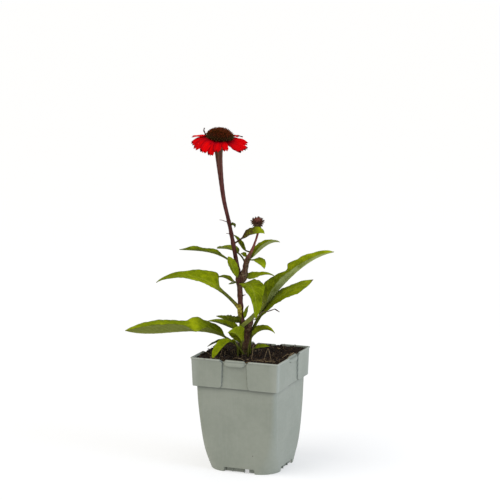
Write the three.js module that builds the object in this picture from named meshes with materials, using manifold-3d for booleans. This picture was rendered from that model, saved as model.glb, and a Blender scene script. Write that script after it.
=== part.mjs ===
// A young potted coneflower: square nursery pot, potting mix, one flower stem with an open
// flower head, one side branch with a bud, and the foliage. Millimetres, +Z up.
// The origin is the middle of the pot's underside, on the surface that the pot stands on.

import * as THREE from 'three';
import { mergeVertices } from 'three/addons/utils/BufferGeometryUtils.js';
import Module from 'manifold-3d';

// ---------- driving dimensions ----------

const potHeight = 136;
const rimSide = 110;              // across the lip
const collarHeight = 34;          // the square band that stands out under the lip
const collarFootSide = 106;       // across the lower edge of the band
const wall = 1.4;
const lipOverhang = 0.9;
const lipHeight = 1.6;
const floorHeight = 6;            // underside of the pot's floor, above the surface it stands on
const floorThickness = 1.6;
const gap = 0.3;                  // clearance between pieces that touch in the real plant

const headPlace = [-33.5, -13.5, 389];   // middle of the flower head's base
const headTilt = 13;                     // degrees that the head nods
const headFacing = -48;                  // compass direction of that nod, degrees from +X
const coneRadius = 16;
const coneHeight = 11;

const leafThickness = 0.8;
const floretThickness = 0.4;

const colours = {
  pot: 0x92978a,
  soil: 0x2b2020,
  stem: 0x4a2428,
  shoot: 0x6b4a44,
  leaf: 0x7d9a14,
  youngLeaf: 0x5f7d1a,
  floret: 0xd40a10,
  withered: 0x5a1a1c,
  cone: 0x3c140e,
  involucre: 0x4c5a2c,
  bud: 0x6a3630,
  dryLeaf: 0x5c5040,
};

// ---------- solids ----------

const wasm = await Module();
wasm.setup();

const deg = THREE.MathUtils.degToRad;
const lerp = THREE.MathUtils.lerp;
const clamp = THREE.MathUtils.clamp;
const smooth = THREE.MathUtils.smoothstep;

function signedVolume(positions, triangles) {
  const corners = [new THREE.Vector3(), new THREE.Vector3(), new THREE.Vector3()];
  let total = 0;
  for (let i = 0; i < triangles.length; i += 3) {
    corners.forEach((corner, k) => corner.fromArray(positions, triangles[i + k] * 3));
    total += corners[0].dot(corners[1].cross(corners[2])) / 6;
  }
  return total;
}

// A closed three.js geometry as a solid that can be joined and cut.
function solidOf(geometry) {
  const bare = geometry.clone();
  bare.deleteAttribute('normal');
  bare.deleteAttribute('uv');
  const merged = mergeVertices(bare, 1e-4);
  const vertProperties = new Float32Array(merged.attributes.position.array);
  const triVerts = new Uint32Array(merged.index.array);
  if (signedVolume(vertProperties, triVerts) < 0) {
    for (let i = 0; i < triVerts.length; i += 3) {
      [triVerts[i], triVerts[i + 1]] = [triVerts[i + 1], triVerts[i]];
    }
  }
  return new wasm.Manifold(new wasm.Mesh({ numProp: 3, vertProperties, triVerts }));
}

function geometryOf(solid) {
  const mesh = solid.getMesh();
  const geometry = new THREE.BufferGeometry();
  geometry.setAttribute('position', new THREE.BufferAttribute(new Float32Array(mesh.vertProperties), 3));
  geometry.setIndex(new THREE.BufferAttribute(new Uint32Array(mesh.triVerts), 1));
  geometry.computeVertexNormals();
  return geometry;
}

function joined(solids) {
  return solids.reduce((whole, next) => whole.add(next));
}

// A cut can leave a crumb on the far side of what cut it: the piece is the largest part.
function largestPart(solid) {
  return solid.decompose().reduce((best, next) => (next.volume() > best.volume() ? next : best));
}

// A body through a row of closed rings of points, its two ends closed by fans.
function skin(rings) {
  const around = rings[0].length;
  const middle = (ring) => ring.reduce((sum, p) => sum.add(p), new THREE.Vector3()).divideScalar(around);
  const points = [...rings.flat(), middle(rings[0]), middle(rings[rings.length - 1])];
  const firstMiddle = points.length - 2;
  const lastMiddle = points.length - 1;
  const lastRing = (rings.length - 1) * around;
  const index = [];
  for (let j = 0; j < around; j += 1) {
    const next = (j + 1) % around;
    for (let i = 0; i < rings.length - 1; i += 1) {
      const a = i * around + j;
      const b = i * around + next;
      index.push(a, b, b + around, a, b + around, a + around);
    }
    index.push(firstMiddle, next, j);
    index.push(lastMiddle, lastRing + j, lastRing + next);
  }
  const geometry = new THREE.BufferGeometry().setFromPoints(points);
  geometry.setIndex(index);
  return geometry;
}

function box(width, depth, height, x, y, z) {
  return solidOf(new THREE.BoxGeometry(width, depth, height).translate(x, y, z + height / 2));
}

function onEverySide(solid) {
  return joined([0, 90, 180, 270].map((turn) => solid.rotate([0, 0, turn])));
}

// ---------- pot ----------

const bodySide = [                // height, side: the body bellies in towards its foot
  [0, 86], [4, 86.8], [10, 88], [20, 90.3], [32, 92.2], [46, 94],
  [62, 96], [80, 98], [potHeight - collarHeight, 99.4], [potHeight, 101],
];
const bodyCorner = [              // height, radius of the body's upright corners
  [0, 25], [4, 22.5], [10, 18.8], [20, 14], [32, 10], [46, 7.5], [62, 6.2], [80, 5.5], [potHeight, 5],
];
const collarCorner = 2.2;
const channel = { halfTop: 14, halfFoot: 15.5, depth: 2.6, corner: 4.5 };
const grip = { swell: 3, height: 6.5, below: 1.2 };
const skirt = { thickness: 2, archHalf: 19, archHeight: 5.5 };
const bar = {
  thickness: 1.4, foot: 0.8, setBack: 39.6, lengths: [[-6, 24.6], [15.6, 7.6]], stubs: [-18, -8.4, 6],
};
const pad = { radius: 13, ribThickness: 1.6, ribFoot: 2 };
const drain = { radius: 3.6, places: [[21, 21], [27, 8], [27, -8]] };
const above = 5;                  // how far a cutting block reaches past what it cuts

function valueAt(table, height) {
  const next = table.findIndex(([z]) => z >= height);
  if (next <= 0) return table[Math.max(next, 0)][1];
  const [z0, v0] = table[next - 1];
  const [z1, v1] = table[next];
  return lerp(v0, v1, (height - z0) / (z1 - z0));
}

function squareRing(side, corner, z, steps) {
  const ring = [];
  for (let quarter = 0; quarter < 4; quarter += 1) {
    const mid = new THREE.Vector2(side / 2 - corner, side / 2 - corner)
      .rotateAround(new THREE.Vector2(), (quarter * Math.PI) / 2);
    for (let k = 0; k <= steps; k += 1) {
      const angle = (quarter * Math.PI) / 2 + (k / steps) * (Math.PI / 2);
      ring.push(new THREE.Vector3(mid.x + corner * Math.cos(angle), mid.y + corner * Math.sin(angle), z));
    }
  }
  return ring;
}

function bodySolid(inset, from, to) {
  const levels = bodySide.map(([z]) => z).filter((z) => z > from && z < to);
  return solidOf(skin([from, ...levels, to].map((z) => {
    const side = valueAt(bodySide, z) - 2 * inset;
    return squareRing(side, valueAt(bodyCorner, z) - inset, z, 5);
  })));
}

function collarSolid(inset, from, to) {
  const sideAt = (z) => lerp(collarFootSide, rimSide - 2 * lipOverhang,
    (z - potHeight + collarHeight) / collarHeight);
  return solidOf(skin([from, to].map((z) => squareRing(sideAt(z) - 2 * inset,
    Math.max(collarCorner - inset, 0.6), z, 2))));
}

// The stepped-in channel in the middle of a collar side, as the block of air outside the wall.
function channelBlock(widen, reach) {
  const foot = potHeight - collarHeight - 1;
  const shape = new THREE.Shape();
  shape.moveTo(-channel.halfFoot - widen - channel.corner, foot);
  shape.quadraticCurveTo(
    -channel.halfFoot - widen, foot + 1, -channel.halfFoot - widen, foot + channel.corner);
  shape.lineTo(-channel.halfTop - widen, potHeight + above);
  shape.lineTo(channel.halfTop + widen, potHeight + above);
  shape.lineTo(channel.halfFoot + widen, foot + channel.corner);
  shape.quadraticCurveTo(
    channel.halfFoot + widen, foot + 1, channel.halfFoot + widen + channel.corner, foot);
  const geometry = new THREE.ExtrudeGeometry(shape, { depth: 20, bevelEnabled: false, curveSegments: 2 });
  geometry.rotateX(Math.PI / 2).translate(0, -reach, 0);
  return solidOf(geometry);
}

// The space inside the pot, less a clearance all round.
function cavity(clearance) {
  const inset = wall + clearance;
  const step = potHeight - collarHeight + wall;
  const floorTop = floorHeight + floorThickness + clearance;
  const intoWall = rimSide / 2 - lipOverhang - channel.depth - inset;
  const wide = collarSolid(inset, step + clearance, potHeight + above)
    .subtract(onEverySide(channelBlock(inset, intoWall)));
  return bodySolid(inset, floorTop, potHeight + above).add(wide);
}

// The curled grip under the rim at the top of a channel: an eyebrow that swells outwards.
function gripSolid() {
  const face = -(rimSide / 2 - lipOverhang - channel.depth);
  const rings = [];
  for (let k = -4; k <= 4; k += 1) {
    const across = k / 4;
    const swell = 1.001 - across * across;
    const x = across * (channel.halfTop - 0.2);
    const low = potHeight - grip.below - grip.height * swell;
    rings.push([
      new THREE.Vector3(x, face + 0.5, potHeight - 0.4),
      new THREE.Vector3(x, face - 0.2, potHeight - 0.6),
      new THREE.Vector3(x, face - 0.2 - grip.swell * swell, low + 0.8),
      new THREE.Vector3(x, face - 0.2 - 0.87 * grip.swell * swell, low - 0.2),
      new THREE.Vector3(x, face + 0.5, low - 0.6),
    ]);
  }
  return solidOf(skin(rings));
}

// Everything under the floor of one side: the set-back bar in its lengths, its stubs and a cross rib.
function footBars() {
  const tall = floorHeight + floorThickness / 2 - bar.foot;
  const stubDepth = 2.4;
  return joined([
    ...bar.lengths.map(([x, length]) => box(length, bar.thickness, tall, x, -bar.setBack, bar.foot)),
    ...bar.stubs.map((x) => box(0.9, stubDepth, tall, x, -bar.setBack - bar.thickness, bar.foot)),
    box(pad.ribThickness, bar.setBack - pad.radius + 1, floorHeight - pad.ribFoot + 0.8,
      0, -(bar.setBack + pad.radius - 1) / 2, pad.ribFoot),
  ]);
}

function potSolid() {
  const collar = collarSolid(0, potHeight - collarHeight, potHeight);
  const lip = solidOf(skin([potHeight - lipHeight, potHeight].map((z) => (
    squareRing(rimSide, collarCorner, z, 2)))));
  const stepIn = rimSide / 2 - lipOverhang - channel.depth;
  const banded = collar.add(lip).subtract(onEverySide(channelBlock(0, stepIn)));
  const shell = bodySolid(0, 0, potHeight).add(banded).add(onEverySide(gripSolid()))
    .subtract(cavity(0));

  // Under the floor: hollow inside a thin skirt, arched in the middle of every side.
  const archDepth = 12;
  const archCut = box(2 * skirt.archHalf, archDepth, skirt.archHeight + 1, 0, -44, -1);
  const footed = shell.subtract(bodySolid(skirt.thickness, -1, floorHeight)).subtract(onEverySide(archCut));

  const padHeight = floorHeight + 1;
  const padDisc = solidOf(new THREE.CylinderGeometry(pad.radius, pad.radius, padHeight, 24)
    .rotateX(Math.PI / 2).translate(0, 0, padHeight / 2));
  const hole = solidOf(new THREE.CylinderGeometry(drain.radius, drain.radius, 6, 12).rotateX(Math.PI / 2));
  const holes = drain.places.map(([x, y]) => hole.translate([x, y, floorHeight + floorThickness / 2]));
  const pot = footed.add(onEverySide(footBars())).add(padDisc);
  return largestPart(pot.subtract(onEverySide(joined(holes))));
}

// ---------- potting mix ----------

function soilHeight(x, y) {
  const swell = (cx, cy, reach, rise) => rise * Math.exp(-((x - cx) ** 2 + (y - cy) ** 2) / reach ** 2);
  const lumps = 0.5 * Math.sin(x * 0.42 + 1) * Math.cos(y * 0.37) + 0.35 * Math.sin(x * 0.83 - y * 0.71);
  const rise = swell(-8, -2, 20, 3.2) + swell(-32, 18, 15, 3.4) + 2.2 * smooth(y, -10, 45);
  return potHeight - 6.6 + rise + lumps;
}

// The ground as a solid: a slab whose top follows the mix, raised by a clearance.
function groundSolid(lift) {
  const size = 120;
  const cells = 15;
  const around = 2 * (cells + 1);
  const points = [];
  const index = [];
  for (let i = 0; i <= cells; i += 1) {
    const x = (i / cells - 0.5) * size;
    for (let j = 0; j < around; j += 1) {
      const onTop = j <= cells;
      const y = ((onTop ? j : around - 1 - j) / cells - 0.5) * size;
      points.push(new THREE.Vector3(x, y, onTop ? soilHeight(x, y) + lift : -above));
    }
  }
  for (let i = 0; i < cells; i += 1) {
    for (let j = 0; j < around; j += 1) {
      const a = i * around + j;
      const b = i * around + ((j + 1) % around);
      index.push(a, b, b + around, a, b + around, a + around);
    }
  }
  const closeEnd = (start, flip) => {
    for (let j = 0; j < cells; j += 1) {
      const top = start + j;
      const low = start + around - 1 - j;
      if (flip) index.push(top, low - 1, top + 1, top, low, low - 1);
      else index.push(top, top + 1, low - 1, top, low - 1, low);
    }
  };
  closeEnd(0, true);
  closeEnd(cells * around, false);
  const geometry = new THREE.BufferGeometry().setFromPoints(points);
  geometry.setIndex(index);
  return solidOf(geometry);
}

// ---------- stems ----------

// A round stem through hand-placed points [x, y, z, radius].
class Stem {
  constructor(points, steps, sides) {
    this.curve = new THREE.CatmullRomCurve3(points.map(([x, y, z]) => new THREE.Vector3(x, y, z)));
    this.radii = points.map(([, , z, radius]) => [z, radius]);
    this.steps = steps;
    this.sides = sides;
  }

  at(height) {
    let low = 0;
    let high = 1;
    for (let i = 0; i < 24; i += 1) {
      const half = (low + high) / 2;
      if (this.curve.getPoint(half).z < height) low = half;
      else high = half;
    }
    return this.curve.getPoint(low);
  }

  solid(grow, stretch = 0) {
    const frames = this.curve.computeFrenetFrames(this.steps);
    const rings = frames.tangents.map((tangent, i) => {
      const centre = this.curve.getPointAt(i / this.steps);
      if (i === 0) centre.addScaledVector(tangent, -stretch);
      if (i === this.steps) centre.addScaledVector(tangent, stretch);
      const radius = valueAt(this.radii, clamp(centre.z, this.radii[0][0], this.radii.at(-1)[0])) + grow;
      return Array.from({ length: this.sides }, (_, k) => {
        const angle = (k / this.sides) * 2 * Math.PI;
        return centre.clone()
          .addScaledVector(frames.normals[i], radius * Math.cos(angle))
          .addScaledVector(frames.binormals[i], radius * Math.sin(angle));
      });
    });
    return solidOf(skin(rings));
  }
}

const flowerStem = new Stem([
  [-8, -3.2, 118, 3.2], [-8.2, -3.2, 147, 3.4], [-9, -3.6, 166, 3.2], [-11, -4.4, 182, 3],
  [-11.6, -4.6, 194, 2.9], [-12.6, -5, 216, 3.1], [-15, -6, 236, 2.7], [-19, -7.6, 262, 2.3],
  [-24, -9.5, 290, 2.1], [-29.4, -11.6, 316, 2.2], [-33, -13, 346, 2.7], [-35.6, -12, 375, 4.2],
], 34, 10);

const budStem = new Stem([
  [-12.4, -5, 216, 2.6], [-9.2, -3, 226, 3.6], [-6.8, -1.2, 234, 2.6], [-5.6, 0, 242, 2.4],
  [-2.6, 2.2, 251, 2.2], [0.6, 4, 259, 1.7], [5.4, 7.2, 276, 1.4], [5.4, 8, 284.5, 1.7],
], 16, 8);

const sideShoot = new Stem([
  [-8.6, -3.4, 160, 2.6], [-5, -1.6, 168, 2.8], [-1.6, 0.4, 177, 2.6], [0.4, 1.4, 184, 1.8],
], 6, 8);

// ---------- leaves ----------

// Seats: where the leaf leaves the stem. Pitch: degrees above level at the seat, halfway and at the
// tip. Heading: compass direction, degrees from +X. Root: how far the stalk runs back below the seat.
const leafDefaults = {
  root: 0, turn: 0, stalk: 0.2, widest: 0.42, taper: 1, roll: [0, 0], fold: 24, wave: [0.5, 0.5],
  waves: 2.5, phase: 0.2, stalkWidth: 2, spans: 9,
};

function leafSolid(spec) {
  const leaf = { ...leafDefaults, ...spec };
  const fine = 8;
  const steps = leaf.spans * fine;
  const place = new THREE.Vector3(...leaf.seat);
  const rings = [];
  const ringAt = (t, side, up) => {
    const blade = clamp((t - leaf.stalk) / (1 - leaf.stalk), 0, 1);
    const grow = Math.min(1, blade * 6);
    const rise = (leaf.widest / (1 - leaf.widest)) * leaf.taper;
    const peak = leaf.widest ** rise * (1 - leaf.widest) ** leaf.taper;
    const profile = blade ** rise * (1 - blade) ** leaf.taper / peak;
    const stalkHalf = Math.max(leaf.stalkWidth / 2 * (1 - 0.75 * blade), 0.35);
    const half = Math.max((leaf.width / 2) * profile, stalkHalf);
    const thick = lerp(leaf.stalkWidth * 0.42, leafThickness / 2, grow);
    const fold = deg(leaf.fold) * grow;
    const edgeLift = (u) => {
      const size = (u > 0 ? leaf.wave[0] : leaf.wave[1]) * grow * (1 - blade);
      const angle = 2 * Math.PI * (leaf.waves * blade + leaf.phase) + (u > 0 ? 2.2 : 0);
      return half * Math.abs(u) * Math.sin(fold) + size * Math.sin(angle) * Math.abs(u) ** 1.5;
    };
    const point = (u, lift) => place.clone()
      .addScaledVector(side, half * u * Math.cos(fold))
      .addScaledVector(up, edgeLift(u) + lift);
    const edge = 0.5 * thick;
    return [
      point(-1, -edge), point(0, -thick), point(1, -edge),
      point(1, edge), point(0, thick), point(-1, edge),
    ];
  };
  for (let i = 0; i <= steps; i += 1) {
    const t = i / steps;
    const heading = deg(leaf.heading + leaf.turn * t);
    const [p0, p1, p2] = leaf.pitch;
    const bent = p0 * (1 - t) * (1 - 2 * t) + p1 * 4 * t * (1 - t) + p2 * t * (2 * t - 1);
    const pitch = deg(clamp(bent, -100, 100));
    const along = new THREE.Vector3(
      Math.cos(pitch) * Math.cos(heading), Math.cos(pitch) * Math.sin(heading), Math.sin(pitch));
    const level = new THREE.Vector3(-Math.sin(heading), Math.cos(heading), 0);
    const upright = new THREE.Vector3().crossVectors(along, level);
    const roll = deg(lerp(leaf.roll[0], leaf.roll[1], t));
    const side = level.clone().multiplyScalar(Math.cos(roll)).addScaledVector(upright, Math.sin(roll));
    const up = upright.clone().multiplyScalar(Math.cos(roll)).addScaledVector(level, -Math.sin(roll));
    if (i > 0) place.addScaledVector(along, leaf.length / steps);
    if (i === 0 && leaf.root > 0) {
      place.addScaledVector(along, -leaf.root);
      rings.push(ringAt(0, side, up));
      place.addScaledVector(along, leaf.root);
    }
    if (i % fine === 0) rings.push(ringAt(t, side, up));
  }
  return solidOf(skin(rings));
}

const onFlowerStem = (height) => flowerStem.at(height).toArray();
const onBudStem = (height) => budStem.at(height).toArray();

const leaves = {
  leaf_top_over_bud_stem: {
    seat: onFlowerStem(265), heading: 0, length: 43, pitch: [25, 29, -20], stalk: 0.3, width: 13,
    roll: [44, 43], fold: 13,
  },
  leaf_back_of_bud_stem: {
    seat: onBudStem(255), heading: 172, length: 32, pitch: [-22, 51, 34], stalk: 0.25, width: 12,
    fold: 21,
  },
  leaf_bud_stem_right: {
    seat: onBudStem(243.5), heading: 46, length: 49, pitch: [29, 34, -16], stalk: 0.11, width: 19,
    fold: 27, taper: 1.1,
  },
  leaf_bud_stem_curled: {
    seat: onBudStem(245), heading: -19, length: 31, pitch: [2, -5, -74], stalk: 0.2, width: 14,
  },
  leaf_bud_stem_small: {
    seat: onBudStem(249), heading: 182, length: 11, pitch: [0, 20, 20], width: 9, fold: 30, spans: 5,
  },
  leaf_behind_flower_stem: {
    seat: onBudStem(238), heading: 160, length: 53, pitch: [77, 13, -7], stalk: 0.37, width: 15,
    taper: 0.7,
  },
  leaf_upper_left: {
    seat: onFlowerStem(233), heading: 192, length: 75, pitch: [67, 8, 14], stalk: 0.18, width: 24,
    taper: 0.6, widest: 0.5, roll: [13, -13], wave: [0.5, 1.5],
  },
  leaf_upright_by_stem: {
    seat: onFlowerStem(223), heading: 258, length: 37, pitch: [30, 60, 49], stalk: 0.1, width: 13,
    widest: 0.5, taper: 0.8, roll: [0, 17],
  },
  leaf_middle_left: {
    seat: onFlowerStem(190), heading: 202, turn: -3, length: 110, pitch: [43, 21, -27], stalk: 0.27,
    width: 46, widest: 0.26, taper: 1.15, roll: [-8, 16], fold: 33, wave: [1.5, 3], waves: 2.3,
    phase: 0.8, spans: 12, stalkWidth: 3,
  },
  leaf_small_left: {
    seat: onFlowerStem(219.5), heading: 170, length: 31, pitch: [-18, 15, -10], width: 13, widest: 0.5,
  },
  leaf_tiny_left: {
    seat: onFlowerStem(217), heading: 243, length: 15, pitch: [12, -8, 5], width: 4, spans: 5,
  },
  leaf_long_left: {
    seat: [-11, -8.5, 140], root: 12, heading: 212, turn: -4, length: 140, pitch: [53, 1, 13],
    stalk: 0.13, width: 53, widest: 0.5, taper: 0.65, roll: [3, 3], fold: 28, wave: [0, 4.5], waves: 2.9,
    phase: 0.4, spans: 13, stalkWidth: 3.4,
  },
  leaf_lower_left: {
    seat: onFlowerStem(163), heading: 178, length: 49, pitch: [-14, 11, 6], width: 19, fold: 31,
  },
  leaf_toothed_left: {
    seat: onFlowerStem(171), heading: 222, length: 34, pitch: [0, 20, 24], stalk: 0.08, width: 21,
    fold: 34,
  },
  leaf_front_diamond: {
    seat: onFlowerStem(145), heading: 256, length: 38, pitch: [10, 48, -10], stalk: 0.16, width: 16,
    widest: 0.5, roll: [0, 23], fold: 21,
  },
  leaf_over_rim: {
    seat: [-11.5, -14, 140], root: 12, heading: 250, length: 54, pitch: [88, -14, -40], stalk: 0.22,
    width: 15, taper: 0.6, fold: 30,
  },
  leaf_back_left_narrow: {
    seat: [-13.5, -5.5, 139], root: 8, heading: 182, length: 45, pitch: [66, -6, -32], stalk: 0.43,
    width: 8,
  },
  leaf_low_right: {
    seat: [-1.6, -6.4, 137], root: 8, heading: 12, length: 51, pitch: [89, 41, -46], stalk: 0.4,
    width: 18, widest: 0.3, taper: 1.2, fold: 34, spans: 10,
  },
  leaf_small_upright: {
    seat: onFlowerStem(176), heading: -18, length: 21, pitch: [0, 71, 58], width: 7, spans: 6,
  },
  leaf_long_right: {
    seat: onFlowerStem(166.5), heading: 36, turn: 2, length: 141, pitch: [47, 39, 20], stalk: 0.23,
    width: 38, widest: 0.44, taper: 0.6, roll: [-16, 8], fold: 26, wave: [3.5, 0.6], waves: 2.6,
    spans: 13, stalkWidth: 3,
  },
  leaf_right: {
    seat: [-3.6, 3.4, 137], root: 8, heading: 14, turn: -2, length: 118, pitch: [89, 40, 31],
    stalk: 0.34, width: 36, widest: 0.55, taper: 1, roll: [4, 14], fold: 26, wave: [2, 0.5], waves: 2.3,
    spans: 12, stalkWidth: 3,
  },
  leaf_front_drooping: {
    seat: onFlowerStem(220), heading: -46, turn: -7, length: 79, pitch: [0, -20, -107], stalk: 0.17,
    width: 33, widest: 0.31, taper: 1.2, roll: [-10, -16], fold: 32, wave: [2.7, 2.7], waves: 2.6,
    phase: 0.6, spans: 12, stalkWidth: 2.6,
  },
  leaf_right_of_knuckle: {
    seat: onBudStem(228), heading: 32, length: 39, pitch: [-36, 11, -42], stalk: 0.12, width: 15,
    widest: 0.35, taper: 1.3, fold: 29,
  },
  bract_curled: {
    seat: onFlowerStem(288), heading: 20, length: 13, pitch: [35, -10, -85], stalk: 0.1, width: 7,
    fold: 30, spans: 5,
  },
  leaf_on_soil_right: {
    seat: [0, -1.6, 138.4], root: 6, heading: 33, length: 23, pitch: [20, 9, -6], width: 11,
    roll: [0, 20], fold: 16, spans: 6,
  },
};

const stemsGrown = [flowerStem.solid(gap, 3), budStem.solid(gap, 0), sideShoot.solid(gap, 0)];

function seatedLeaf(spec) {
  let solid = leafSolid(spec);
  stemsGrown.forEach((stem) => {
    solid = solid.subtract(stem);
  });
  return largestPart(solid.subtract(groundSolid(gap)));
}

// ---------- small pieces on the stems ----------

function tubeGeometry(points, radius, sides, steps) {
  const path = new THREE.CatmullRomCurve3(points.map((p) => new THREE.Vector3(...p)));
  const section = new THREE.Shape();
  section.absarc(0, 0, radius, 0, 2 * Math.PI);
  return new THREE.ExtrudeGeometry(section, { steps, extrudePath: path, curveSegments: sides / 2 });
}

// Small pointed scales, each growing out of the flower stem: height, heading, length, rise.
const stemScales = {
  scale_upper_left: { height: 290, heading: 205, length: 11, rise: 14 },
  scale_lower_left: { height: 276, heading: 200, length: 6, rise: 4 },
  scale_right: { height: 203, heading: 20, length: 6, rise: 8 },
};

function scaleSolid({ height, heading, length, rise }) {
  const start = flowerStem.at(height);
  const out = new THREE.Vector3(Math.cos(deg(heading)), Math.sin(deg(heading)), Math.tan(deg(rise)));
  const end = start.clone().addScaledVector(out, length);
  const mid = start.clone().lerp(end, 0.6).setZ((start.z + end.z) / 2 + 0.3);
  return solidOf(tubeGeometry([start, mid, end].map((p) => p.toArray()), 0.45, 6, 4));
}

const strandPath = [
  [-1.4, 0, 177], [3, -2.4, 173], [8.4, -2.4, 177], [14, -3.4, 183], [20.6, -3.4, 184.6], [28.4, -0.6, 186],
  [32.4, 1.4, 183.4],
];

// ---------- flower head ----------

// Each ray floret: direction round the head, length, how far it hangs below level, width, seat height.
const florets = [
  { angle: -26, length: 16.5, droop: 38, width: 8.4, seat: -1.3 },
  { angle: -46, length: 20.5, droop: 54, width: 7.4, seat: -1.9 },
  { angle: -67, length: 20.5, droop: 45, width: 8.8, seat: -1.3 },
  { angle: -88, length: 23.5, droop: 37, width: 8.8, seat: -0.7 },
  { angle: -110, length: 23, droop: 30, width: 7.8, seat: -1.9 },
  { angle: -131, length: 23, droop: 15, width: 7.4, seat: -0.7 },
  { angle: -152, length: 21, droop: 24, width: 8.2, seat: -1.5 },
  { angle: -173, length: 21, droop: 20, width: 8.4, seat: -0.7 },
  { angle: 166, length: 20, droop: 32, width: 8.4, seat: -1.5 },
  { angle: 145, length: 21.5, droop: 28, width: 8.2, seat: -0.7 },
  { angle: 124, length: 20, droop: 26, width: 8.4, seat: -1.5 },
  { angle: 82, length: 21, droop: 17, width: 7.6, seat: -0.8 },
  { angle: 61, length: 21.5, droop: 20, width: 8.6, seat: -1.5 },
  { angle: 40, length: 23.5, droop: 16, width: 8.2, seat: -0.7 },
  { angle: 22, length: 22.5, droop: 24, width: 9, seat: -1.5 },
  { angle: -2, length: 16, droop: 35, width: 8, seat: -0.8 },
];
const neckRadius = 11;

function floretGeometry({ angle, length, droop, width, seat }) {
  const spans = 6;
  const fine = 6;
  const heading = deg(angle);
  const outward = new THREE.Vector3(Math.cos(heading), Math.sin(heading), 0);
  const side = new THREE.Vector3(-outward.y, outward.x, 0);
  const place = outward.clone().multiplyScalar(neckRadius + gap).setZ(seat);
  const widths = [0.34, 0.62, 0.86, 0.98, 1, 0.9, 0.5];
  const rings = [];
  for (let i = 0; i <= spans * fine; i += 1) {
    const t = i / (spans * fine);
    const pitch = -deg(droop) * lerp(0.1, 1.75, t);
    const along = outward.clone().multiplyScalar(Math.cos(pitch)).setZ(Math.sin(pitch));
    const up = new THREE.Vector3().crossVectors(along, side);
    if (i > 0) place.addScaledVector(along, (length + 2) / (spans * fine));
    if (i % fine !== 0) continue;
    const half = (width / 2) * widths[i / fine];
    const point = (u, lift) => place.clone()
      .addScaledVector(side, u * half)
      .addScaledVector(up, lift - 0.5 * u * u * Math.min(t * 3, 1));
    const thick = floretThickness / 2;
    rings.push([
      point(-1, -thick), point(0, -thick), point(1, -thick),
      point(1, thick), point(0, thick), point(-1, thick),
    ]);
  }
  return skin(rings);
}

function turned(profile, segments) {
  const outline = profile.map(([r, z]) => new THREE.Vector2(r, z));
  return new THREE.LatheGeometry(outline, segments).rotateX(Math.PI / 2);
}

// Two florets that have dried to threads: one curls up beside the cone, one lies out to the side.
const driedFlorets = {
  withered_floret_left: [
    [-5.2, -10.8, -0.9], [-8.8, -15.2, -0.9], [-10, -16.8, 3], [-8.8, -16.6, 8], [-9.2, -17.4, 10.6],
  ],
  withered_floret_right: [[-0.6, 12.6, -1.2], [-0.4, 17, -0.4], [0.6, 22, -0.6], [2, 27.5, -2.2]],
};

const coneProfile = [
  [0, -2.6], [neckRadius, -2.6], [neckRadius, -0.3], [coneRadius - 1, -0.3], [coneRadius, 1.4],
  [coneRadius - 0.4, 4], [coneRadius - 2.4, 6.8], [coneRadius - 6, 9.4], [coneRadius - 10.5, 10.8],
  [0, coneHeight],
];
const involucreProfile = [
  [0, -13.6], [4.4, -13.6], [5.4, -10], [7.6, -6.6], [10.6, -4.4], [12.6, -3.2], [12.2, -2.9], [0, -2.9],
];

// ---------- bud ----------

const budPlace = [5.4, 8, 291];
const budRadius = 6;

function budBractsSolid() {
  const cupProfile = [[0, -6.2], [2.6, -6.2], [5.4, -4.6], [7, -1.4], [7, 1], [6.5, 1.4], [0, 1.4]];
  const cup = solidOf(turned(cupProfile, 16));
  const hollow = solidOf(new THREE.SphereGeometry(budRadius + gap, 16, 12).rotateX(Math.PI / 2));
  const spikes = [];
  const rows = 3;
  const perRow = 9;
  const spikeLength = 4.4;
  const rowDrop = 2;
  const rowLean = 26;             // degrees: the top row leans up, the middle one is level
  for (let row = 0; row < rows; row += 1) {
    for (let k = 0; k < perRow; k += 1) {
      const spike = new THREE.ConeGeometry(1, spikeLength, 4).translate(0, spikeLength / 2, 0);
      spike.rotateZ(-Math.PI / 2).translate(budRadius - 0.1 - 0.6 * row, 0, 0);
      spike.rotateY(deg(rowLean * (1 - row))).translate(0, 0, 0.6 - rowDrop * row);
      spike.rotateZ(((k + row / rows) / perRow) * 2 * Math.PI);
      spikes.push(solidOf(spike));
    }
  }
  return largestPart(joined([cup, ...spikes]).subtract(hollow));
}

// ---------- assembly ----------

const plant = new THREE.Group();

function addPiece(name, geometry, colour, roughness, parent = plant) {
  const material = new THREE.MeshStandardMaterial({ color: colour, roughness, metalness: 0 });
  const mesh = new THREE.Mesh(geometry, material);
  mesh.name = name;
  parent.add(mesh);
  return mesh;
}

const head = new THREE.Group();
head.position.set(...headPlace);
head.rotation.set(0, deg(headTilt), deg(headFacing), 'ZYX');
plant.add(head);

// The top of the flower stem is trimmed square to the head that it carries.
head.updateMatrixWorld(true);
const headSocket = solidOf(new THREE.CylinderGeometry(9, 9, 20, 12).rotateX(Math.PI / 2)
  .translate(0, 0, 10 + involucreProfile[0][1] - gap)
  .applyMatrix4(head.matrixWorld));

addPiece('pot', geometryOf(potSolid()), colours.pot, 0.45);

const soil = cavity(gap).intersect(groundSolid(0)).subtract(flowerStem.solid(gap, 3));
addPiece('potting_mix', geometryOf(largestPart(soil)), colours.soil, 0.95);

addPiece('flower_stem', geometryOf(flowerStem.solid(0).subtract(headSocket)), colours.stem, 0.5);
const branch = (stem) => geometryOf(largestPart(stem.solid(0).subtract(stemsGrown[0])));
addPiece('bud_stem', branch(budStem), colours.stem, 0.5);
addPiece('side_shoot', branch(sideShoot), colours.shoot, 0.6);

Object.entries(leaves).forEach(([name, spec]) => {
  const colour = spec.length > 60 ? colours.leaf : colours.youngLeaf;
  addPiece(name, geometryOf(seatedLeaf(spec)), colour, 0.55);
});

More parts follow.
